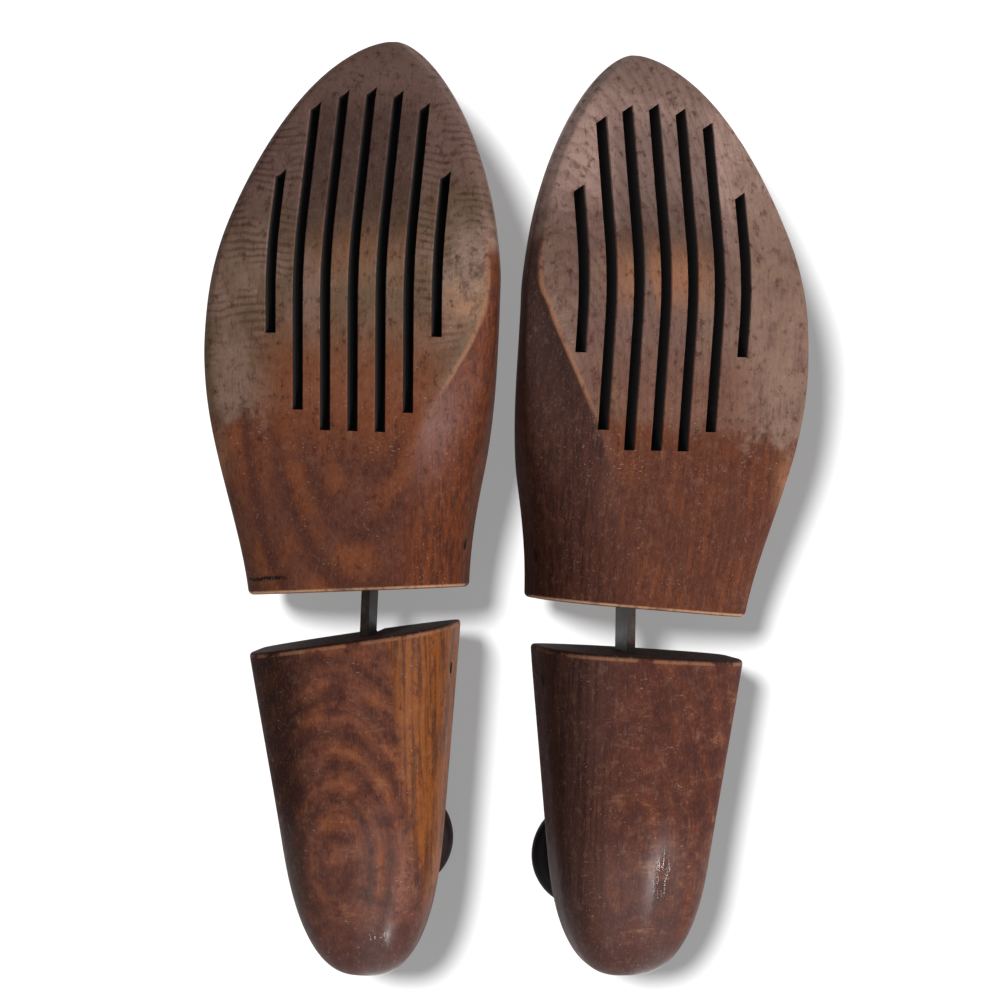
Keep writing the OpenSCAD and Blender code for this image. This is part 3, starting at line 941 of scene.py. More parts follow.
        # Painted shade darkens the flank towards the ball
        side = paint.blend(side, self.flank_painted_shade, paint.step(y, 45.0, 85.0, self.painted_shade_on_flank))
        colour = paint.blend(colour, side, paint.times(arch, self.flank_shows))
        ridge = paint.times(
            paint.step(paint.maths("ABSOLUTE", crease), 1.1, 0.2),
            paint.bump_mask("Y", 84.0, 22.0, 8.0),
        )
        colour = paint.blend(colour, self.rubbed, paint.times(ridge, self.ridge))
        # Painted sheen: a pale mauve streak beside the crease stands in for its gloss
        sheen = paint.times(
            paint.step(crease, -4.0, 1.0),
            paint.step(crease, 13.0, 3.0),
            paint.bump_mask("Y", 52.0, 8.0, 18.0),
        )
        colour = paint.blend(colour, self.sheen_colour, paint.times(sheen, self.sheen))

        # Painted highlight: an orange spot at the outer waist
        glow_x, glow_y = self.waist_highlight_at
        glow = paint.times(
            paint.bump_mask("X", glow_x, 3.5, 3.5), paint.bump_mask("Y", glow_y, 7.0, 7.0), 0.7
        )
        colour = paint.blend(colour, self.rubbed, glow)
        # The worn edge of the cut face, and the crack behind it, lie along the slanted cut
        slope = paint.maths("MULTIPLY_ADD", x, -0.0787, y)
        worn_end = paint.times(paint.step(slope, 1.2, 0.7), paint.step(slope, 0.1, 0.4))
        worn_end = paint.times(worn_end, paint.step(clouds, 0.30, 0.5))
        colour = paint.blend(colour, self.copper, worn_end)
        jagged = paint.noise(paint.stretched(5, 30, 30, 0, 91), 5.0, 0.8)
        crack = paint.maths("MULTIPLY_ADD", jagged, 3.4, slope)
        crack = paint.step(paint.maths("ABSOLUTE", paint.maths("SUBTRACT", crack, 6.6)), 0.75, 0.3)
        chip = paint.times(
            crack, paint.bump_mask("X", -28.0, 7.0, 2.0), paint.step(z, -30.0, -24.0), self.chip
        )
        colour = paint.blend(colour, self.crack, chip)
        ridge_gloss = paint.times(
            paint.step(crease, -5.0, 0.0), paint.step(y, 8.0, 60.0), self.ridge_gloss
        )
        ends = paint.times(paint.bump_mask("Y", 44.0, 9.0, 7.0), paint.step(x, -30.0, -22.0))
        specky = paint.times(paint.step(clouds, 0.5, 0.62), paint.step(y, 110.0, 84.0))
        specky = paint.maths("MAXIMUM", specky, paint.times(ends, paint.step(ragged, 0.4, 0.55)))
        return colour, ridge_gloss, specky


@dataclass(frozen=True)
class SlotDark:
    """Raw saw-cut wood deep in a slot, near black with painted shade, as little light gets in."""

    name: str = "slot_shade"
    # Painted shade: the inside of the slot is drawn near black
    colour: str = "#150e0d"
    saw_mark_colour: str = "#2b1a16"

    def build(self, matrix: Matrix) -> bpy.types.Material:
        """Builds the finish, with faint saw marks.

        Args:
            matrix: the frame of the finish, millimetres to metres.

        Returns:
            The material.
        """
        paint = Painter(self.name, matrix)
        # Saw marks 0.8 mm apart
        marks = paint.noise(paint.stretched(2, 0.8, 3, 0, 5), 2.0)
        # The near-black colour is painted shade deep in the slot; the saw marks are paler
        colour = paint.blend(self.colour, self.saw_mark_colour, paint.step(marks, 0.5, 0.8, 0.6))
        rough = paint.maths("MULTIPLY_ADD", marks, 0.1, 0.85)
        return paint.finish(colour, rough, marks, 0.1)


@dataclass(frozen=True)
class EbonisedKnob:
    """Turned hardwood, blackened and waxed, with fine lathe lines round its axis."""

    name: str
    colour: str = "#231a1c"
    rubbed: str = "#4a332e"
    line: float = 0.5
    specular: float = 0.1

    def build(self, matrix: Matrix) -> bpy.types.Material:
        """Builds the finish.

        Args:
            matrix: the knob's frame, whose z is the axis of the lathe.

        Returns:
            The material.
        """
        paint = Painter(self.name, matrix)
        # Rubbed clouds of 6 mm, and lathe lines that run round the axis
        clouds = paint.noise(paint.stretched(6, 6, 6, 0, 3), 3.0)
        lines = paint.noise(paint.stretched(60, 60, self.line, 0, 9), 2.0, 0.6)
        colour = paint.blend(self.colour, self.rubbed, paint.step(clouds, 0.5, 0.8, 0.6))
        rough = paint.maths("MULTIPLY_ADD", clouds, 0.25, 0.45)
        paint.shader.inputs["Specular IOR Level"].default_value = self.specular
        return paint.finish(colour, rough, lines, 0.05)


@dataclass(frozen=True)
class AgedSteel:
    """Mild steel bar or wire, brown-black with age and rubbed where it turns."""

    name: str
    colour: str = "#1d1816"
    rust: str = "#3d2a22"
    metallic: float = 0.75

    def build(self, matrix: Matrix) -> bpy.types.Material:
        """Builds the finish.

        Args:
            matrix: the frame of the finish, millimetres to metres.

        Returns:
            The material.
        """
        paint = Painter(self.name, matrix)
        # Rust in clouds of 3 by 5 mm, over grit of 0.6 mm
        clouds = paint.noise(paint.stretched(3, 5, 3, 0, 3), 4.0, 0.65)
        grit = paint.noise(paint.stretched(0.6, 0.6, 0.6, 0, 9), 2.0)
        colour = paint.blend(self.colour, self.rust, paint.step(clouds, 0.48, 0.75))
        rough = paint.maths("MULTIPLY_ADD", clouds, 0.35, 0.3)
        paint.shader.inputs["Metallic"].default_value = self.metallic
        return paint.finish(colour, rough, grit, 0.04)


# ---------------------------------------------------------------- wooden blocks


@dataclass
class Forepart:
    """The last-shaped forepart of one tree, with its vent slots, kerf and pin hole."""

    place: TreePlace
    crease_in: float
    crease_from: float
    crease_to: float
    crease_late: float
    slots_in: float
    wood: StainedWood
    length: float = 173.0
    rear_in: float = 31.0
    rear_out: float = 36.5
    ball_in: float = 44.0
    ball_out: float = 48.0
    ball_in_y: float = 96.5
    ball_out_y: float = 71.5
    tip_in: float = 4.0
    toe_in_fullness: float = 1.6
    toe_out_fullness: float = 1.75
    flare_in: float = 0.0
    flare_out: float = 0.75
    cut_slant: float = 4.5
    slant_reach: float = 60.0
    tread_y: float = 101.0
    waist_slope: float = 9.5
    toe_spring: float = 16.0
    tread_round: float = 13.0
    waist_depth: float = 50.0
    vamp_level: float = 39.0
    vamp_shape: float = 0.92
    instep_y: float = 25.0
    vamp_end: float = 8.0
    corner_r: float = 10.0
    nose_len: float = 24.0
    nose_fullness: float = 2.2
    edge_w: float = 2.6
    sole_crown: float = 1.6
    outer_crown: float = 4.0
    crease_angle: float = 32.0
    crease_start_y: float = 95.0
    crease_end_y: float = 26.0
    crease_fade: float = 32.0
    edge_kink: float = 48.0
    flank_in: float = 28.0
    flank_out: float = 22.0
    flank_flat: float = 12.0
    toe_flank: float = 0.22
    ball_flank: float = 5.5
    toe_flat: float = 0.6
    small_w: float = 20.0
    crown_fade: float = 40.0
    waist_run: float = 58.0
    outer_fade_y: float = 62.0
    outer_in: float = 14.0
    centre_band: float = 0.15
    edge_run: float = 20.0
    outer_edge_y: tuple = (20.0, 70.0)
    belly_toe: float = 2.0
    belly_waist: float = 1.75
    belly_y: tuple = (20.0, 90.0)
    toe_end: float = 45.0
    toe_rings: int = 30
    ring_step: float = 1.9
    slot_w: float = 3.1
    slot_pitch: float = 8.6
    slot_from: tuple = (49.0, 49.0, 55.0, 78.0)
    slot_to: tuple = (156.0, 155.0, 151.0, 129.0)
    slot_floor: float = 18.0
    slot_fall: float = 3.5
    slot_slant: float = 35.0
    slot_worn: float = 0.35
    slot_steps: int = 48
    end_r: float = 1.6
    kerf_w: float = 3.35
    kerf_reach: float = 7.0
    kerf_top: float = 6.8
    pin_r: float = 1.81

    def inner_x(self, y: float) -> float:
        """Works out the outline on the arch side.

        Args:
            y: the distance from the cut face.

        Returns:
            The outline's x.
        """
        if y < self.ball_in_y:
            return mix(self.rear_in, self.ball_in, swell(y / self.ball_in_y, self.flare_in))
        t = (y - self.ball_in_y) / (self.length - self.ball_in_y)
        return mix(self.tip_in, self.ball_in, fall(t, self.toe_in_fullness))

    def outer_x(self, y: float) -> float:
        """Works out the outline on the outer side.

        Args:
            y: the distance from the cut face.

        Returns:
            The outline's x.
        """
        if y < self.ball_out_y:
            return -mix(self.rear_out, self.ball_out, swell(y / self.ball_out_y, self.flare_out))
        t = (y - self.ball_out_y) / (self.length - self.ball_out_y)
        return mix(self.tip_in, -self.ball_out, fall(t, self.toe_out_fullness))

    def sole_level(self, y: float) -> float:
        """Returns the level of the sole along the centre line."""
        up, down = tan(radians(self.waist_slope)), tan(radians(self.toe_spring))
        return parabola_bend(y - self.tread_y, up, down, self.tread_round)

    def vamp_line(self, y: float) -> float:
        """Works out the level of the instep and vamp.

        Args:
            y: the distance from the cut face.

        Returns:
            The level.
        """
        end = self.length - self.vamp_end
        t = min(1.0, max(0.0, (y - self.instep_y) / (end - self.instep_y))) ** self.vamp_shape
        lift = 0.0
        if y < self.corner_r:
            lift = self.corner_r - sqrt(self.corner_r**2 - (self.corner_r - max(y, 0.0)) ** 2)
        high = self.sole_level(0) - self.waist_depth
        return mix(-self.vamp_level, high, (1 + cos(pi * t)) / 2) + lift

    def crease_inset(self, y: float) -> float:
        """Returns how far in from the sole's edge the crease has run."""
        run = min(1.0, max(0.0, (self.crease_from - y) / (self.crease_from - self.crease_to)))
        return self.crease_in * sin(pi / 2 * run) ** self.crease_late

    def crease_x(self, y: float) -> float:
        """Works out where the crease runs, or else the inside of the sole's rounded edge.

        Args:
            y: the distance from the cut face.

        Returns:
            Its x.
        """
        half = (self.inner_x(y) - self.outer_x(y)) / 2
        middle = (self.inner_x(y) + self.outer_x(y)) / 2
        edge = min(self.edge_w, half / 4)
        return middle + max(half - edge - self.crease_inset(y), self.centre_band * half)

    def section(self, y: float) -> np.ndarray:
        """Draws the closed section of the block at one place.

        Args:
            y: the distance from the cut face.

        Returns:
            The ring of x and z.
        """
        x_in, x_out = self.inner_x(y), self.outer_x(y)
        w, mid = (x_in - x_out) / 2, (x_in + x_out) / 2
        nose = fall((y - (self.length - self.nose_len)) / self.nose_len, self.nose_fullness)
        tip_level = (self.sole_level(self.length) - self.vamp_level) / 2
        top = mix(tip_level, self.sole_level(y), nose)
        depth = top - mix(tip_level, self.vamp_line(y), nose)
        waist_in = ease((self.crease_start_y - y) / self.waist_run)
        waist_out = ease((self.outer_fade_y - y) / self.outer_fade_y)
        inset = self.crease_inset(y)
        edge = min(self.edge_w, w / 4)
        small = min(1.0, w / self.crown_fade)
        if y < self.crease_start_y:
            kink_in = self.crease_angle * ease((y - self.crease_end_y) / self.crease_fade)
        else:
            past = ease((y - self.crease_start_y) / self.edge_run)
            kink_in = mix(self.crease_angle, self.edge_kink, past)
        low, high = self.outer_edge_y
        kink_out = self.edge_kink * ease((y - low) / (high - low))
        shallow = min(self.ball_flank, self.toe_flank * depth)
        thin = self.toe_flat * min(1.0, w / self.small_w)
        top_in = mix(shallow, self.flank_in - self.flank_flat / 2, waist_in)
        top_out = mix(shallow, self.flank_out - self.flank_flat / 2, waist_out)
        low, high = self.belly_y
        fullness = mix(self.belly_toe, self.belly_waist, ease((high - y) / (high - low)))
        inner = HalfSection(
            max(w - edge - inset, self.centre_band * w), self.sole_crown * small, kink_in, w,
            top_in, top_in + mix(thin, self.flank_flat, waist_in), 0.0, -depth, fullness,
        )
        outer = HalfSection(
            w - edge - self.outer_in * waist_out,
            mix(self.sole_crown, self.outer_crown, waist_out) * small, kink_out, w,
            top_out, top_out + mix(thin, self.flank_flat, waist_out), 0.0, -depth, fullness,
        )
        return whole_section((mid, top), inner, outer)

    def sheared(self, x: np.ndarray, y: float) -> np.ndarray:
        """Returns y slanted across the block near its cut face."""
        return y + x * tan(radians(self.cut_slant)) * min(1.0, max(0.0, 1 - y / self.slant_reach))

    def rows(self) -> list[np.ndarray]:
        """Draws the block's rings.

        Returns:
            The rings from the middle of the cut face to the tip, in the tree's frame.
        """
        out = [ring_at(soften(self.section(y), 1), self.sheared, y, inset)
               for y, inset in end_rows(self.end_r)]
        body = np.arange(self.end_r + 1.2, self.length - self.toe_end, self.ring_step)
        toe = [
            self.length - self.toe_end + self.toe_end * sin(pi / 2 * i / self.toe_rings)
            for i in range(self.toe_rings)
        ]
        toe.append(self.length - 0.02)
        for y in [*body, *toe]:
            out.append(ring_at(soften(self.section(y), 1), self.sheared, y, 0.0))
        out.append(np.repeat(out[-1].mean(axis=0)[None], len(out[-1]), axis=0))
        return out

    def slot_cutter(self, k: int) -> bpy.types.Object:
        """Makes the solid that one saw slot takes out, its mouth worn open along the sole.

        Args:
            k: the slot's number, counted from the middle one towards the arch.

        Returns:
            The cutter.
        """
        near, far = self.slot_from[abs(k)], self.slot_to[abs(k)]
        middle, half, worn = self.slots_in + k * self.slot_pitch, self.slot_w / 2, self.slot_worn
        rise = self.slot_w * tan(radians(self.slot_slant)) * self.place.side.mirror
        rows = []
        for i in range(self.slot_steps + 1):
            t = i / self.slot_steps
            ring = self.section(mix(near, far, t))
            crown = ring[np.argsort(ring[:, 0])]
            crown = crown[crown[:, 1] > ring[:, 1].mean()]
            level = float(np.interp(middle, crown[:, 0], crown[:, 1]))
            past = mix(near, far, t) - self.slot_from[0]
            floor = -self.slot_floor - past * tan(radians(self.slot_fall))
            loop = []
            for x, z in (
                (-half, floor),
                (half, floor),
                (half, level - 2 * worn),
                (half + worn * 0.3, level - worn * 0.7),
                (half + worn, level),
                (half + worn, level + 4),
                (-half - worn, level + 4),
                (-half - worn, level),
                (-half - worn * 0.3, level - worn * 0.7),
                (-half, level - 2 * worn),
            ):
                end = far - abs(rise) / 2 + rise * x / self.slot_w
                loop.append((middle + x, mix(near, end, t), z))
            rows.append(np.array(loop))
        first, last = (end.mean(axis=0)[None].repeat(len(end), 0) for end in (rows[0], rows[-1]))
        rows = [first, *rows, last]
        # The mouth and its worn lips take the block's own finish, the rest the near-black raw
        # finish with painted shade
        strips = (0, 0, 1, 1, 1, 1, 1, 1, 1, 0)
        return skin(f"slot_{k}", [laid(r, self.place.matrix) for r in rows], strips)

    def build(self) -> bpy.types.Object:
        """Builds the block, saws it and dresses it.

        Returns:
            The finished block.
        """
        node = self.place.side.node("forepart")
        block = skin(node + "_block", [laid(r, self.place.matrix) for r in self.rows()])
        face = self.wood.build(self.place.matrix, self)
        sawn = SlotDark(self.place.side.node("fore_sawn")).build(self.place.matrix)
        block.data.materials.append(face)
        for k in range(-3, 4):
            carve(block, self.slot_cutter(k), sawn, face)
        saw_hinge(block, self, 0.0, self.place.fore_pin, 1, self.place.matrix, sawn)
        smooth(block)
        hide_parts(node)
        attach(block, self.place.side.node("tree"))
        return block


def end_rows(radius: float) -> list[tuple[float, float]]:
    """Lays out the rings of a cut face and its rounded edge.

    Args:
        radius: the radius of the edge.

    Returns:
        The distance behind the face and the inset of each ring.
    """
    rows = [(0.0, 1e6), (0.0, 24.0), (0.0, 14.0), (0.0, 6.0), (0.0, 3.0)]
    for i in range(7):
        q = pi / 2 * i / 6
        rows.append((radius * (1 - cos(q)), radius * (1 - sin(q))))
    return rows


def ring_at(
    section: np.ndarray, sheared: Callable[[np.ndarray, float], np.ndarray], y: float, inset: float
) -> np.ndarray:
    """Stands a section up at its place along a block.

    Args:
        section: the ring's x and z.
        sheared: the function that slants y across the block.
        y: the distance along the block.
        inset: how far the ring is drawn in towards its middle.

    Returns:
        The ring in three dimensions.
    """
    middle = section.mean(axis=0)
    off = section - middle
    size = np.maximum(np.linalg.norm(off, axis=1), 1e-9)
    ring = middle + off * np.maximum(0.0, 1 - inset / size)[:, None]
    return np.stack([ring[:, 0], sheared(ring[:, 0], y), ring[:, 1]], axis=1)


def block_of(name: str, low: tuple, high: tuple, matrix: Matrix) -> bpy.types.Object:
    """Makes a square cutter.

    Args:
        name: the cutter's name.
        low: its lower corner, in the frame.
        high: its upper corner.
        matrix: the frame.

    Returns:
        The cutter.
    """
    bpy.ops.object.select_all(action="DESELECT")
    bpy.ops.mesh.primitive_cube_add(size=1)
    obj = bpy.context.object
    obj.name = name
    size = Matrix.Diagonal([*(Vector(high) - Vector(low)), 1])
    obj.data.transform(matrix @ Matrix.Translation((Vector(low) + Vector(high)) / 2) @ size)
    return obj


def rod_of(
    name: str, start: Vector, axis: str, length: float, r: float, matrix: Matrix
) -> bpy.types.Object:
    """Makes a round cutter.

    Args:
        name: the cutter's name.
        start: the middle of its first end, in the frame.
        axis: the frame's axis that it lies along, X or Z.
        length: its length.
        r: its radius.
        matrix: the frame.

    Returns:
        The cutter.
    """
    bpy.ops.object.select_all(action="DESELECT")
    bpy.ops.mesh.primitive_cylinder_add(vertices=64, radius=r, depth=length)
    obj = bpy.context.object
    obj.name = name
    turn = Matrix.Rotation(pi / 2, 4, "Y") if axis == "X" else Matrix.Identity(4)
    lift = Matrix.Translation((0, 0, length / 2))
    obj.data.transform(matrix @ Matrix.Translation(start) @ turn @ lift)
    return obj


def saw_hinge(
    block: bpy.types.Object,
    sizes: "Forepart | HeelBlock",
    face_y: float,
    pin: Vector,
    into: int,
    matrix: Matrix,
    sawn: bpy.types.Material,
) -> None:
    """Saws the link's kerf into a block and drills it for its pin.

    Args:
        block: the block to cut.
        sizes: the piece whose kerf and pin sizes are used.
        face_y: the y of the block's cut face in the hinge's frame.
        pin: the place of the pin.
        into: 1 where the block lies towards the toe, -1 where it lies towards the heel.
        matrix: the hinge's frame for this block.
        sawn: the finish of the sawn faces.
    """
    far = pin.y + into * sizes.kerf_reach
    # The saw starts 10 mm off the face and comes from 60 mm below, clear of the block
    near = face_y - into * 10.0
    low = (pin.x - sizes.kerf_w / 2, min(near, far), pin.z - 60)
    high = (pin.x + sizes.kerf_w / 2, max(near, far), pin.z + sizes.kerf_top)
    carve(block, block_of("kerf", low, high, matrix), sawn)
    start = pin - Vector((60, 0, 0))
    carve(block, rod_of("pin_hole", start, "X", 120, sizes.pin_r, matrix), sawn)


@dataclass
class HeelBlock:
    """The rounded heel block of one tree, with its kerf, pin hole and the hole for its knob."""

    place: TreePlace
    length: float
    slant: float
    turn: float
    fold: float
    wood: StainedWood
    half_in: float = 29.5
    half_out: float = 35.0
    back_in: float = 23.2
    back_out: float = 25.3
    knob_y: float = 68.5
    round_y: float = 62.0
    fullness: float = 2.8
    seat_level: float = 14.0
    seat_rise: float = 1.5
    back_level: float = 19.0
    waist_depth: float = 50.0
    comb_depth: float = 38.0
    comb_in: float = 5.5
    corner_r: float = 10.0
    crown: tuple = (3.4, 4.6)
    crown_w: float = 0.55
    flank_in: float = 28.0
    flank_out: float = 22.0
    flank_flat: float = 12.0
    back_flank: float = 14.0
    belly: float = 1.8
    slant_reach: float = 60.0
    end_r: float = 1.4
    kerf_w: float = 3.35
    kerf_reach: float = 7.0
    kerf_top: float = 6.8
    pin_r: float = 1.81
    spot_r: float = 8.0
    spot_depth: float = 1.8
    hole_r: float = 5.03
    hole_len: float = 23.8
    back_flat: float = 0.6
    back_rings: int = 34
    ring_step: float = 2.0

    def section(self, y: float) -> np.ndarray:
        """Draws the closed section of the block at one place.

        Args:
            y: the distance behind the cut face.

        Returns:
            The ring of x and z.
        """
        along = y / self.knob_y
        rounded = fall((y - self.round_y) / (self.length - self.round_y), self.fullness)
        w_in = mix(self.half_in, self.back_in, along) * rounded
        w_out = mix(self.half_out, self.back_out, along) * rounded
        seat = -self.seat_level - self.seat_rise * ease(along)
        nose = seat - self.back_level
        full = mix(self.waist_depth, self.comb_depth, ease(along))
        top = mix(nose, seat, rounded)
        depth = top - mix(nose, seat - full, rounded)
        lift = 0.0
        if y < self.corner_r:
            lift = self.corner_r - sqrt(self.corner_r**2 - (self.corner_r - y) ** 2)
        scale = depth / full
        back = y / self.length
        crown = mix(self.crown[0], self.crown[1], ease(along)) * rounded
        flat = self.flank_flat * scale * mix(1.0, self.back_flat, back)
        top_in = mix(self.flank_in - self.flank_flat / 2, self.back_flank, back) * scale
        top_out = mix(self.flank_out - self.flank_flat / 2, self.back_flank, back) * scale
        keel = lift - depth
        inner = HalfSection(
            w_in * self.crown_w, crown, 0, w_in, top_in, top_in + flat,
            self.comb_in * rounded, keel, self.belly,
        )
        outer = HalfSection(
            w_out * self.crown_w, crown, 0, w_out, top_out, top_out + flat,
            -self.comb_in * rounded, keel, self.belly,
        )
        return whole_section((0.0, top), inner, outer)

    def sheared(self, x: np.ndarray, y: float) -> np.ndarray:
        """Returns y slanted across the block near its cut face, pointing to the back."""
        return x * tan(radians(self.slant)) * min(1.0, max(0.0, 1 - y / self.slant_reach)) - y

    def rows(self) -> list[np.ndarray]:
        """Draws the block's rings.

        Returns:
            The rings from the middle of the cut face to the back, in the block's frame.
        """
        out = [ring_at(soften(self.section(y), 1), self.sheared, y, inset)
               for y, inset in end_rows(self.end_r)]
        reach = self.length - self.round_y
        body = np.arange(self.end_r + 1.2, self.round_y, self.ring_step)
        back = [
            self.round_y + reach * sin(pi / 2 * i / self.back_rings) for i in range(self.back_rings)
        ]
        back.append(self.length - 0.01)
        for y in [*body, *back]:
            out.append(ring_at(soften(self.section(y), 1), self.sheared, y, 0.0))
        out.append(np.repeat(out[-1].mean(axis=0)[None], len(out[-1]), axis=0))
        return out

    def comb_level(self) -> float:
        """Returns the level of the comb where the knob stands."""
        return float(self.section(self.knob_y)[:, 1].min())

    def build(self) -> bpy.types.Object:
        """Builds the block, saws and drills it and dresses it.

        Returns:
            The finished block.
        """
        node = self.place.side.node("heel_block")
        matrix = self.place.heel_matrix(self.turn, self.fold)
        block = skin(node + "_block", [laid(r, matrix) for r in self.rows()])
        block.data.materials.append(self.wood.build(matrix, self))
        sawn = SlotDark(self.place.side.node("heel_sawn")).build(matrix)
        hinge = self.place.folded_matrix(self.fold)
        saw_hinge(block, self, -self.place.hinge_gap, self.place.heel_pin, -1, hinge, sawn)
        foot = Vector((self.comb_in, -self.knob_y, self.comb_level() - 1))
        carve(block, rod_of("knob_seat", foot, "Z", self.spot_depth + 1, self.spot_r, matrix), sawn)
        carve(block, rod_of("knob_hole", foot, "Z", self.hole_len, self.hole_r, matrix), sawn)
        smooth(block)
        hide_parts(node)
        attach(block, self.place.side.node("heel"))
        return block


@dataclass
class Knob:
    """The turned mushroom knob of one tree and the spigot that holds it."""

    heel: HeelBlock
    finish: EbonisedKnob
    diameter: float = 35.0
    cap: float = 8.5
    reach: float = 13.0
    neck: float = 15.0
    cove: float = 1.5
    dome: float = 1.5
    spigot: float = 10.0
    spigot_len: float = 20.0
    foot: float = 2.0
    facets: int = 96

    def profile(self) -> list[tuple[float, float]]:
        """Draws the line that the knob is turned to.

        Returns:
            Radius and distance from the comb's seat, from the spigot's end to the face.
        """
        rim = (self.cap - self.dome) / 2
        full = self.reach + self.heel.spot_depth
        under = full - self.cap
        flat = self.diameter / 2 - rim
        line = [(0.0, -self.spigot_len), (self.spigot / 2 - 0.6, -self.spigot_len),
                (self.spigot / 2, -self.spigot_len + 0.6), (self.spigot / 2, 0.0),
                (self.neck / 2 - 0.3, 0.0), (self.neck / 2, 0.3), (self.neck / 2, self.foot - 0.4)]
        thin = self.neck / 2 - self.cove
        line += [(self.neck / 2 - self.cove * sin(pi / 2 * t), mix(self.foot, under - 0.6, t))
                 for t in (0.2, 0.5, 0.8, 1.0)]
        line += [(thin + 0.7, under), (flat, under)]
        for i in range(1, 13):
            q = -pi / 2 + pi * i / 12
            line.append((flat + rim * cos(q), under + rim + rim * sin(q)))
        ball = (flat**2 + self.dome**2) / (2 * self.dome)
        for i in range(1, 9):
            r = flat * (1 - i / 8)
            line.append((r, full - ball + sqrt(ball**2 - r * r)))
        return line

    def build(self) -> bpy.types.Object:
        """Turns the knob and dresses it.

        Returns:
            The finished knob.
        """
        side = self.heel.place.side
        heel = self.heel
        seat = Vector((heel.comb_in, -heel.knob_y, heel.comb_level() + heel.spot_depth))
        matrix = heel.place.heel_matrix(heel.turn, heel.fold) @ Matrix.Translation(seat)
        rows = []
        for r, z in self.profile():
            turns = np.linspace(0, 2 * pi, self.facets + 1)[:-1]
            rows.append(np.array([(r * cos(a), r * sin(a), -z) for a in turns]))
        knob = skin(side.node("knob_turned"), [laid(r, matrix) for r in rows])
        knob.data.materials.append(self.finish.build(matrix))
        smooth(knob)
        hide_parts(side.node("knob"))
        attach(knob, side.node("heel"))
        return knob


@dataclass
class HingeMetal:
    """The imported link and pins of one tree, which only need their finish."""

    place: TreePlace
    pin_colour: str = "#2a2421"
    pin_rust: str = "#4a3a33"
    pin_metallic: float = 0.8

    def build(self) -> None:
        """Dresses the link bar and the two pins."""
        side = self.place.side
        bar = AgedSteel(side.node("bar_steel")).build(self.place.matrix)
        steel = AgedSteel(
            side.node("pin_steel"), self.pin_colour, self.pin_rust, self.pin_metallic
        )
        pin = steel.build(self.place.matrix)
        for piece, finish in (("link", bar), ("forepart_pin", pin), ("heel_pin", pin)):
            node = frame["nodes"][side.node(piece)]
            node.data.materials.clear()
            node.data.materials.append(finish)


# ---------------------------------------------------------------- the studio


def seen_as_background(tree: bpy.types.NodeTree) -> bpy.types.NodeSocket:
    """Tells the rays that show the background from those that light the trees.

    Args:
        tree: the node tree of the floor or of the world.

    Returns:
        A socket that is 1 for the camera's rays and for mirrored and refracted ones, else 0.
    """
    path = add(tree, "ShaderNodeLightPath")
    seen = path.outputs["Is Camera Ray"]
    for ray in ("Is Glossy Ray", "Is Transmission Ray"):
        seen = add(
            tree, "ShaderNodeMath", {"operation": "MAXIMUM"}, {0: seen, 1: path.outputs[ray]}
        ).outputs[0]
    return seen


class Lights(Enum):
    """What a lamp lights; the value says how the table takes part in its light link."""

    TABLE = "INCLUDE"
    TREES = "EXCLUDE"


@dataclass(frozen=True)
class Lamp:
    """One soft lamp.

    Attributes:
        name: its name.
        place: where it hangs, in metres.
        size: the side of a square panel in metres, or the angle of the sky over the table.
        power: watts, or the strength of the sky.
        lights: what it lights.
    """

    name: str
    place: tuple[float, float, float]
    size: float
    power: float
    lights: Lights = Lights.TREES


LAMPS = (
    Lamp("window", (0.62, -0.40, 1.12), 0.24, 11.0),
    Lamp("door", (1.1, 0.25, 0.7), 0.5, 4.0),
    Lamp("sill", (0.16, -0.95, 0.90), 0.08, 4.0),
    Lamp("sky", (-0.37, 0.31, 1.15), radians(12.0), 7.0, Lights.TABLE),
)


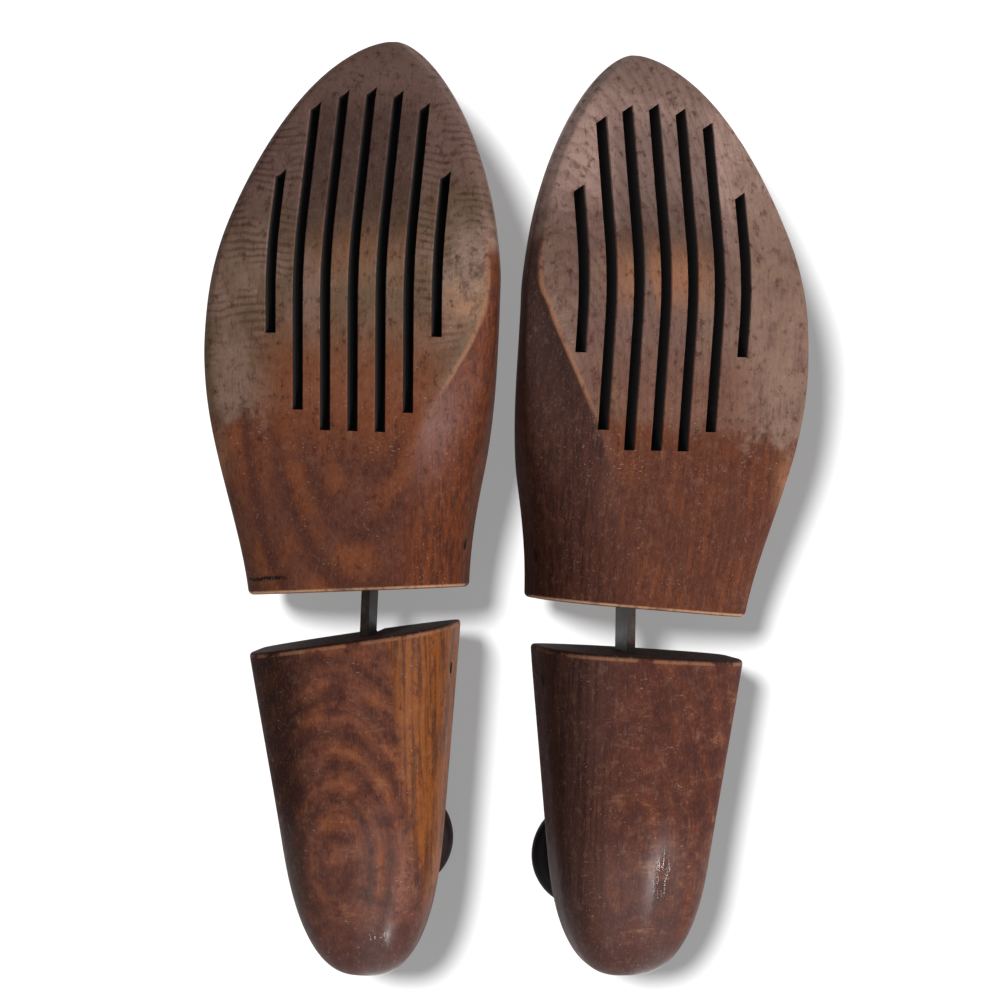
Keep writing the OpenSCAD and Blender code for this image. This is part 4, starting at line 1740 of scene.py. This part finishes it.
@dataclass(frozen=True)
class Studio:
    """A white table under soft light, and the camera that looks straight down on it."""

    lens_px: float = 2271.0
    picture_px: float = 1000.0
    sensor: float = 36.0
    above_tread: float = 683.0
    tread_level: float = 67.5
    centre: tuple = (-2.1, 3.3)
    floor_size: float = 3.0
    table: str = "#aaaaaa"
    white_lift: float = 0.28
    room: float = 0.15
    aim: tuple = (0, 0, 0.03)

    def build_floor(self) -> None:
        """Lays the table top."""
        bpy.ops.object.select_all(action="DESELECT")
        bpy.ops.mesh.primitive_plane_add(size=self.floor_size)
        floor = bpy.context.object
        floor.name = "table_top"
        # Matt white laminate. The camera and mirror rays also see it glow a little, which lights
        # nothing else
        material = bpy.data.materials.new("white_laminate")
        material.use_nodes = True
        tree = material.node_tree
        shader = tree.nodes["Principled BSDF"]
        shader.inputs["Base Color"].default_value = linear(self.table)
        shader.inputs["Specular IOR Level"].default_value = 0.0
        lift = add(
            tree,
            "ShaderNodeMath",
            {"operation": "MULTIPLY", 1: self.white_lift},
            {0: seen_as_background(tree)},
        )
        shader.inputs["Emission Color"].default_value = linear("#ffffff")
        tree.links.new(lift.outputs[0], shader.inputs["Emission Strength"])
        floor.data.materials.append(material)

    def hang(self, lamp: Lamp) -> bpy.types.Object:
        """Hangs one soft lamp that faces the middle of the pair.

        Args:
            lamp: the lamp.

        Returns:
            Its object.
        """
        kind = "SUN" if lamp.lights is Lights.TABLE else "AREA"
        data = bpy.data.lights.new(lamp.name, kind)
        data.energy = lamp.power
        setattr(data, "angle" if kind == "SUN" else "size", lamp.size)
        hung = bpy.data.objects.new(lamp.name, data)
        bpy.context.scene.collection.objects.link(hung)
        hung.location = lamp.place
        look = Vector(self.aim) - Vector(lamp.place)
        hung.rotation_euler = look.to_track_quat("-Z", "Y").to_euler()
        return hung

    def build_lights(self) -> None:
        """Sets the lamps and the room's own light."""
        table = bpy.data.objects["table_top"]
        lit = {lights: bpy.data.collections.new(lights.name.lower()) for lights in Lights}
        for lights, group in lit.items():
            group.objects.link(table)
            group.collection_objects[0].light_linking.link_state = lights.value
        hung = [self.hang(lamp) for lamp in LAMPS]
        for lamp, obj in zip(LAMPS, hung):
            obj.light_linking.receiver_collection = lit[lamp.lights]
        world = bpy.data.worlds.new("room")
        world.use_nodes = True
        seen = add(
            world.node_tree,
            "ShaderNodeMath",
            {"operation": "MAXIMUM", 1: self.room},
            {0: seen_as_background(world.node_tree)},
        )
        background = world.node_tree.nodes["Background"]
        background.inputs["Color"].default_value = linear("#ffffff")
        world.node_tree.links.new(seen.outputs[0], background.inputs["Strength"])
        bpy.context.scene.world = world

    def build_camera(self) -> None:
        """Sets the camera over the pair, level with the picture's axes."""
        data = bpy.data.cameras.new("overhead")
        data.sensor_width = self.sensor
        data.lens = self.lens_px / self.picture_px * self.sensor
        camera = bpy.data.objects.new("overhead", data)
        bpy.context.scene.collection.objects.link(camera)
        height = (self.above_tread + self.tread_level) * MM
        camera.location = (self.centre[0] * MM, self.centre[1] * MM, height)
        bpy.context.scene.camera = camera

    def build(self) -> None:
        """Builds the whole studio."""
        self.build_floor()
        self.build_lights()
        self.build_camera()
        bpy.context.scene.view_settings.view_transform = "Standard"


RIGHT_WOOD = ForepartWood(
    "right_forepart_wood", Figure((4.6, 64.0), 2.0, 17.0, 8.0, 8.0), line=0.12, band=0.7
)
LEFT_WOOD = ForepartWood(
    "left_forepart_wood",
    Figure((34.0, 58.0), 2.5, 10.8, 9.0, 2.0),
    base="#5a3326",
    warm="#683a26",
    band=0.3,
    line=0.35,
    grey="#725850",
    taupe="#7c6256",
    mauve="#b5958a",
    tip="#94786e",
    between=0.45,
    outer_tan="#8c7061",
    # Painted shade: this arch flank faces away from the lamps and is drawn dark
    flank="#4a2a21",
    flank_dark="#321a16",
    painted_shade_on_flank=0.7,
    rear_spread=13.0,
    ribs=(102.0, 3.0),
    rib_dark=0.5,
    inner_pale=0.0,
    crest=0.8,
    outer_pale=0.8,
    waves=0.1,
    toe_lines=0.22,
    sheen=0.0,
    chip=0.0,
    speck=0.35,
)
RIGHT_HEEL_WOOD = StainedWood(
    "right_heel_wood",
    Figure((-5.0, -69.0), 1.8, 11.0, 8.0, 3.0),
    base="#744536",
    warm="#884e33",
    band=0.75,
    line=0.25,
    nose_gloss=0.35,
)
LEFT_HEEL_WOOD = StainedWood(
    "left_heel_wood",
    Figure((4.0, -60.0), 2.4, 15.0, 9.0, 4.0),
    base="#573025",
    warm="#683a2a",
    band=0.55,
    line=0.3,
    # Painted shade: this arch side faces away from the lamps and is drawn dark
    flank="#452b25",
    flank_dark="#301c18",
    flank_slope=0.0,
    flank_between=(1.0, 24.0),
    flank_gloss=0.1,
    nose_gloss=0.35,
    gloss_at=-6.5,
    painted_shade_span=(-30.0, -40.0),
)


def main() -> None:
    """Builds both trees and the studio."""
    logging.basicConfig(level=logging.INFO, format="%(name)s: %(message)s")
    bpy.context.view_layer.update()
    right, left = TreePlace(Side.RIGHT), TreePlace(Side.LEFT)
    heels = (
        HeelBlock(right, length=107.5, slant=7.5, turn=2.8, fold=3.8, wood=RIGHT_HEEL_WOOD),
        HeelBlock(left, length=102.0, slant=2.5, turn=0.6, fold=1.2, wood=LEFT_HEEL_WOOD),
    )
    pieces = [
        Forepart(
            right,
            crease_in=13.0,
            crease_from=97.0,
            crease_to=45.0,
            crease_late=2.2,
            slots_in=0.0,
            wood=RIGHT_WOOD,
        ),
        Forepart(
            left,
            crease_in=18.0,
            crease_from=104.0,
            crease_to=40.0,
            crease_late=1.3,
            slots_in=1.6,
            wood=LEFT_WOOD,
        ),
        *heels,
        Knob(heels[0], EbonisedKnob("right_ebonised", "#1c1113", "#33201d")),
        Knob(heels[1], EbonisedKnob("left_ebonised", "#0e0b0b", "#1c1312")),
        HingeMetal(right),
        HingeMetal(left),
    ]
    for piece in pieces:
        built = piece.build()
        if built is not None:
            LOG.info("%s: %d faces", built.name, len(built.data.polygons))
    Studio().build()


if __name__ == "__main__":
    main()
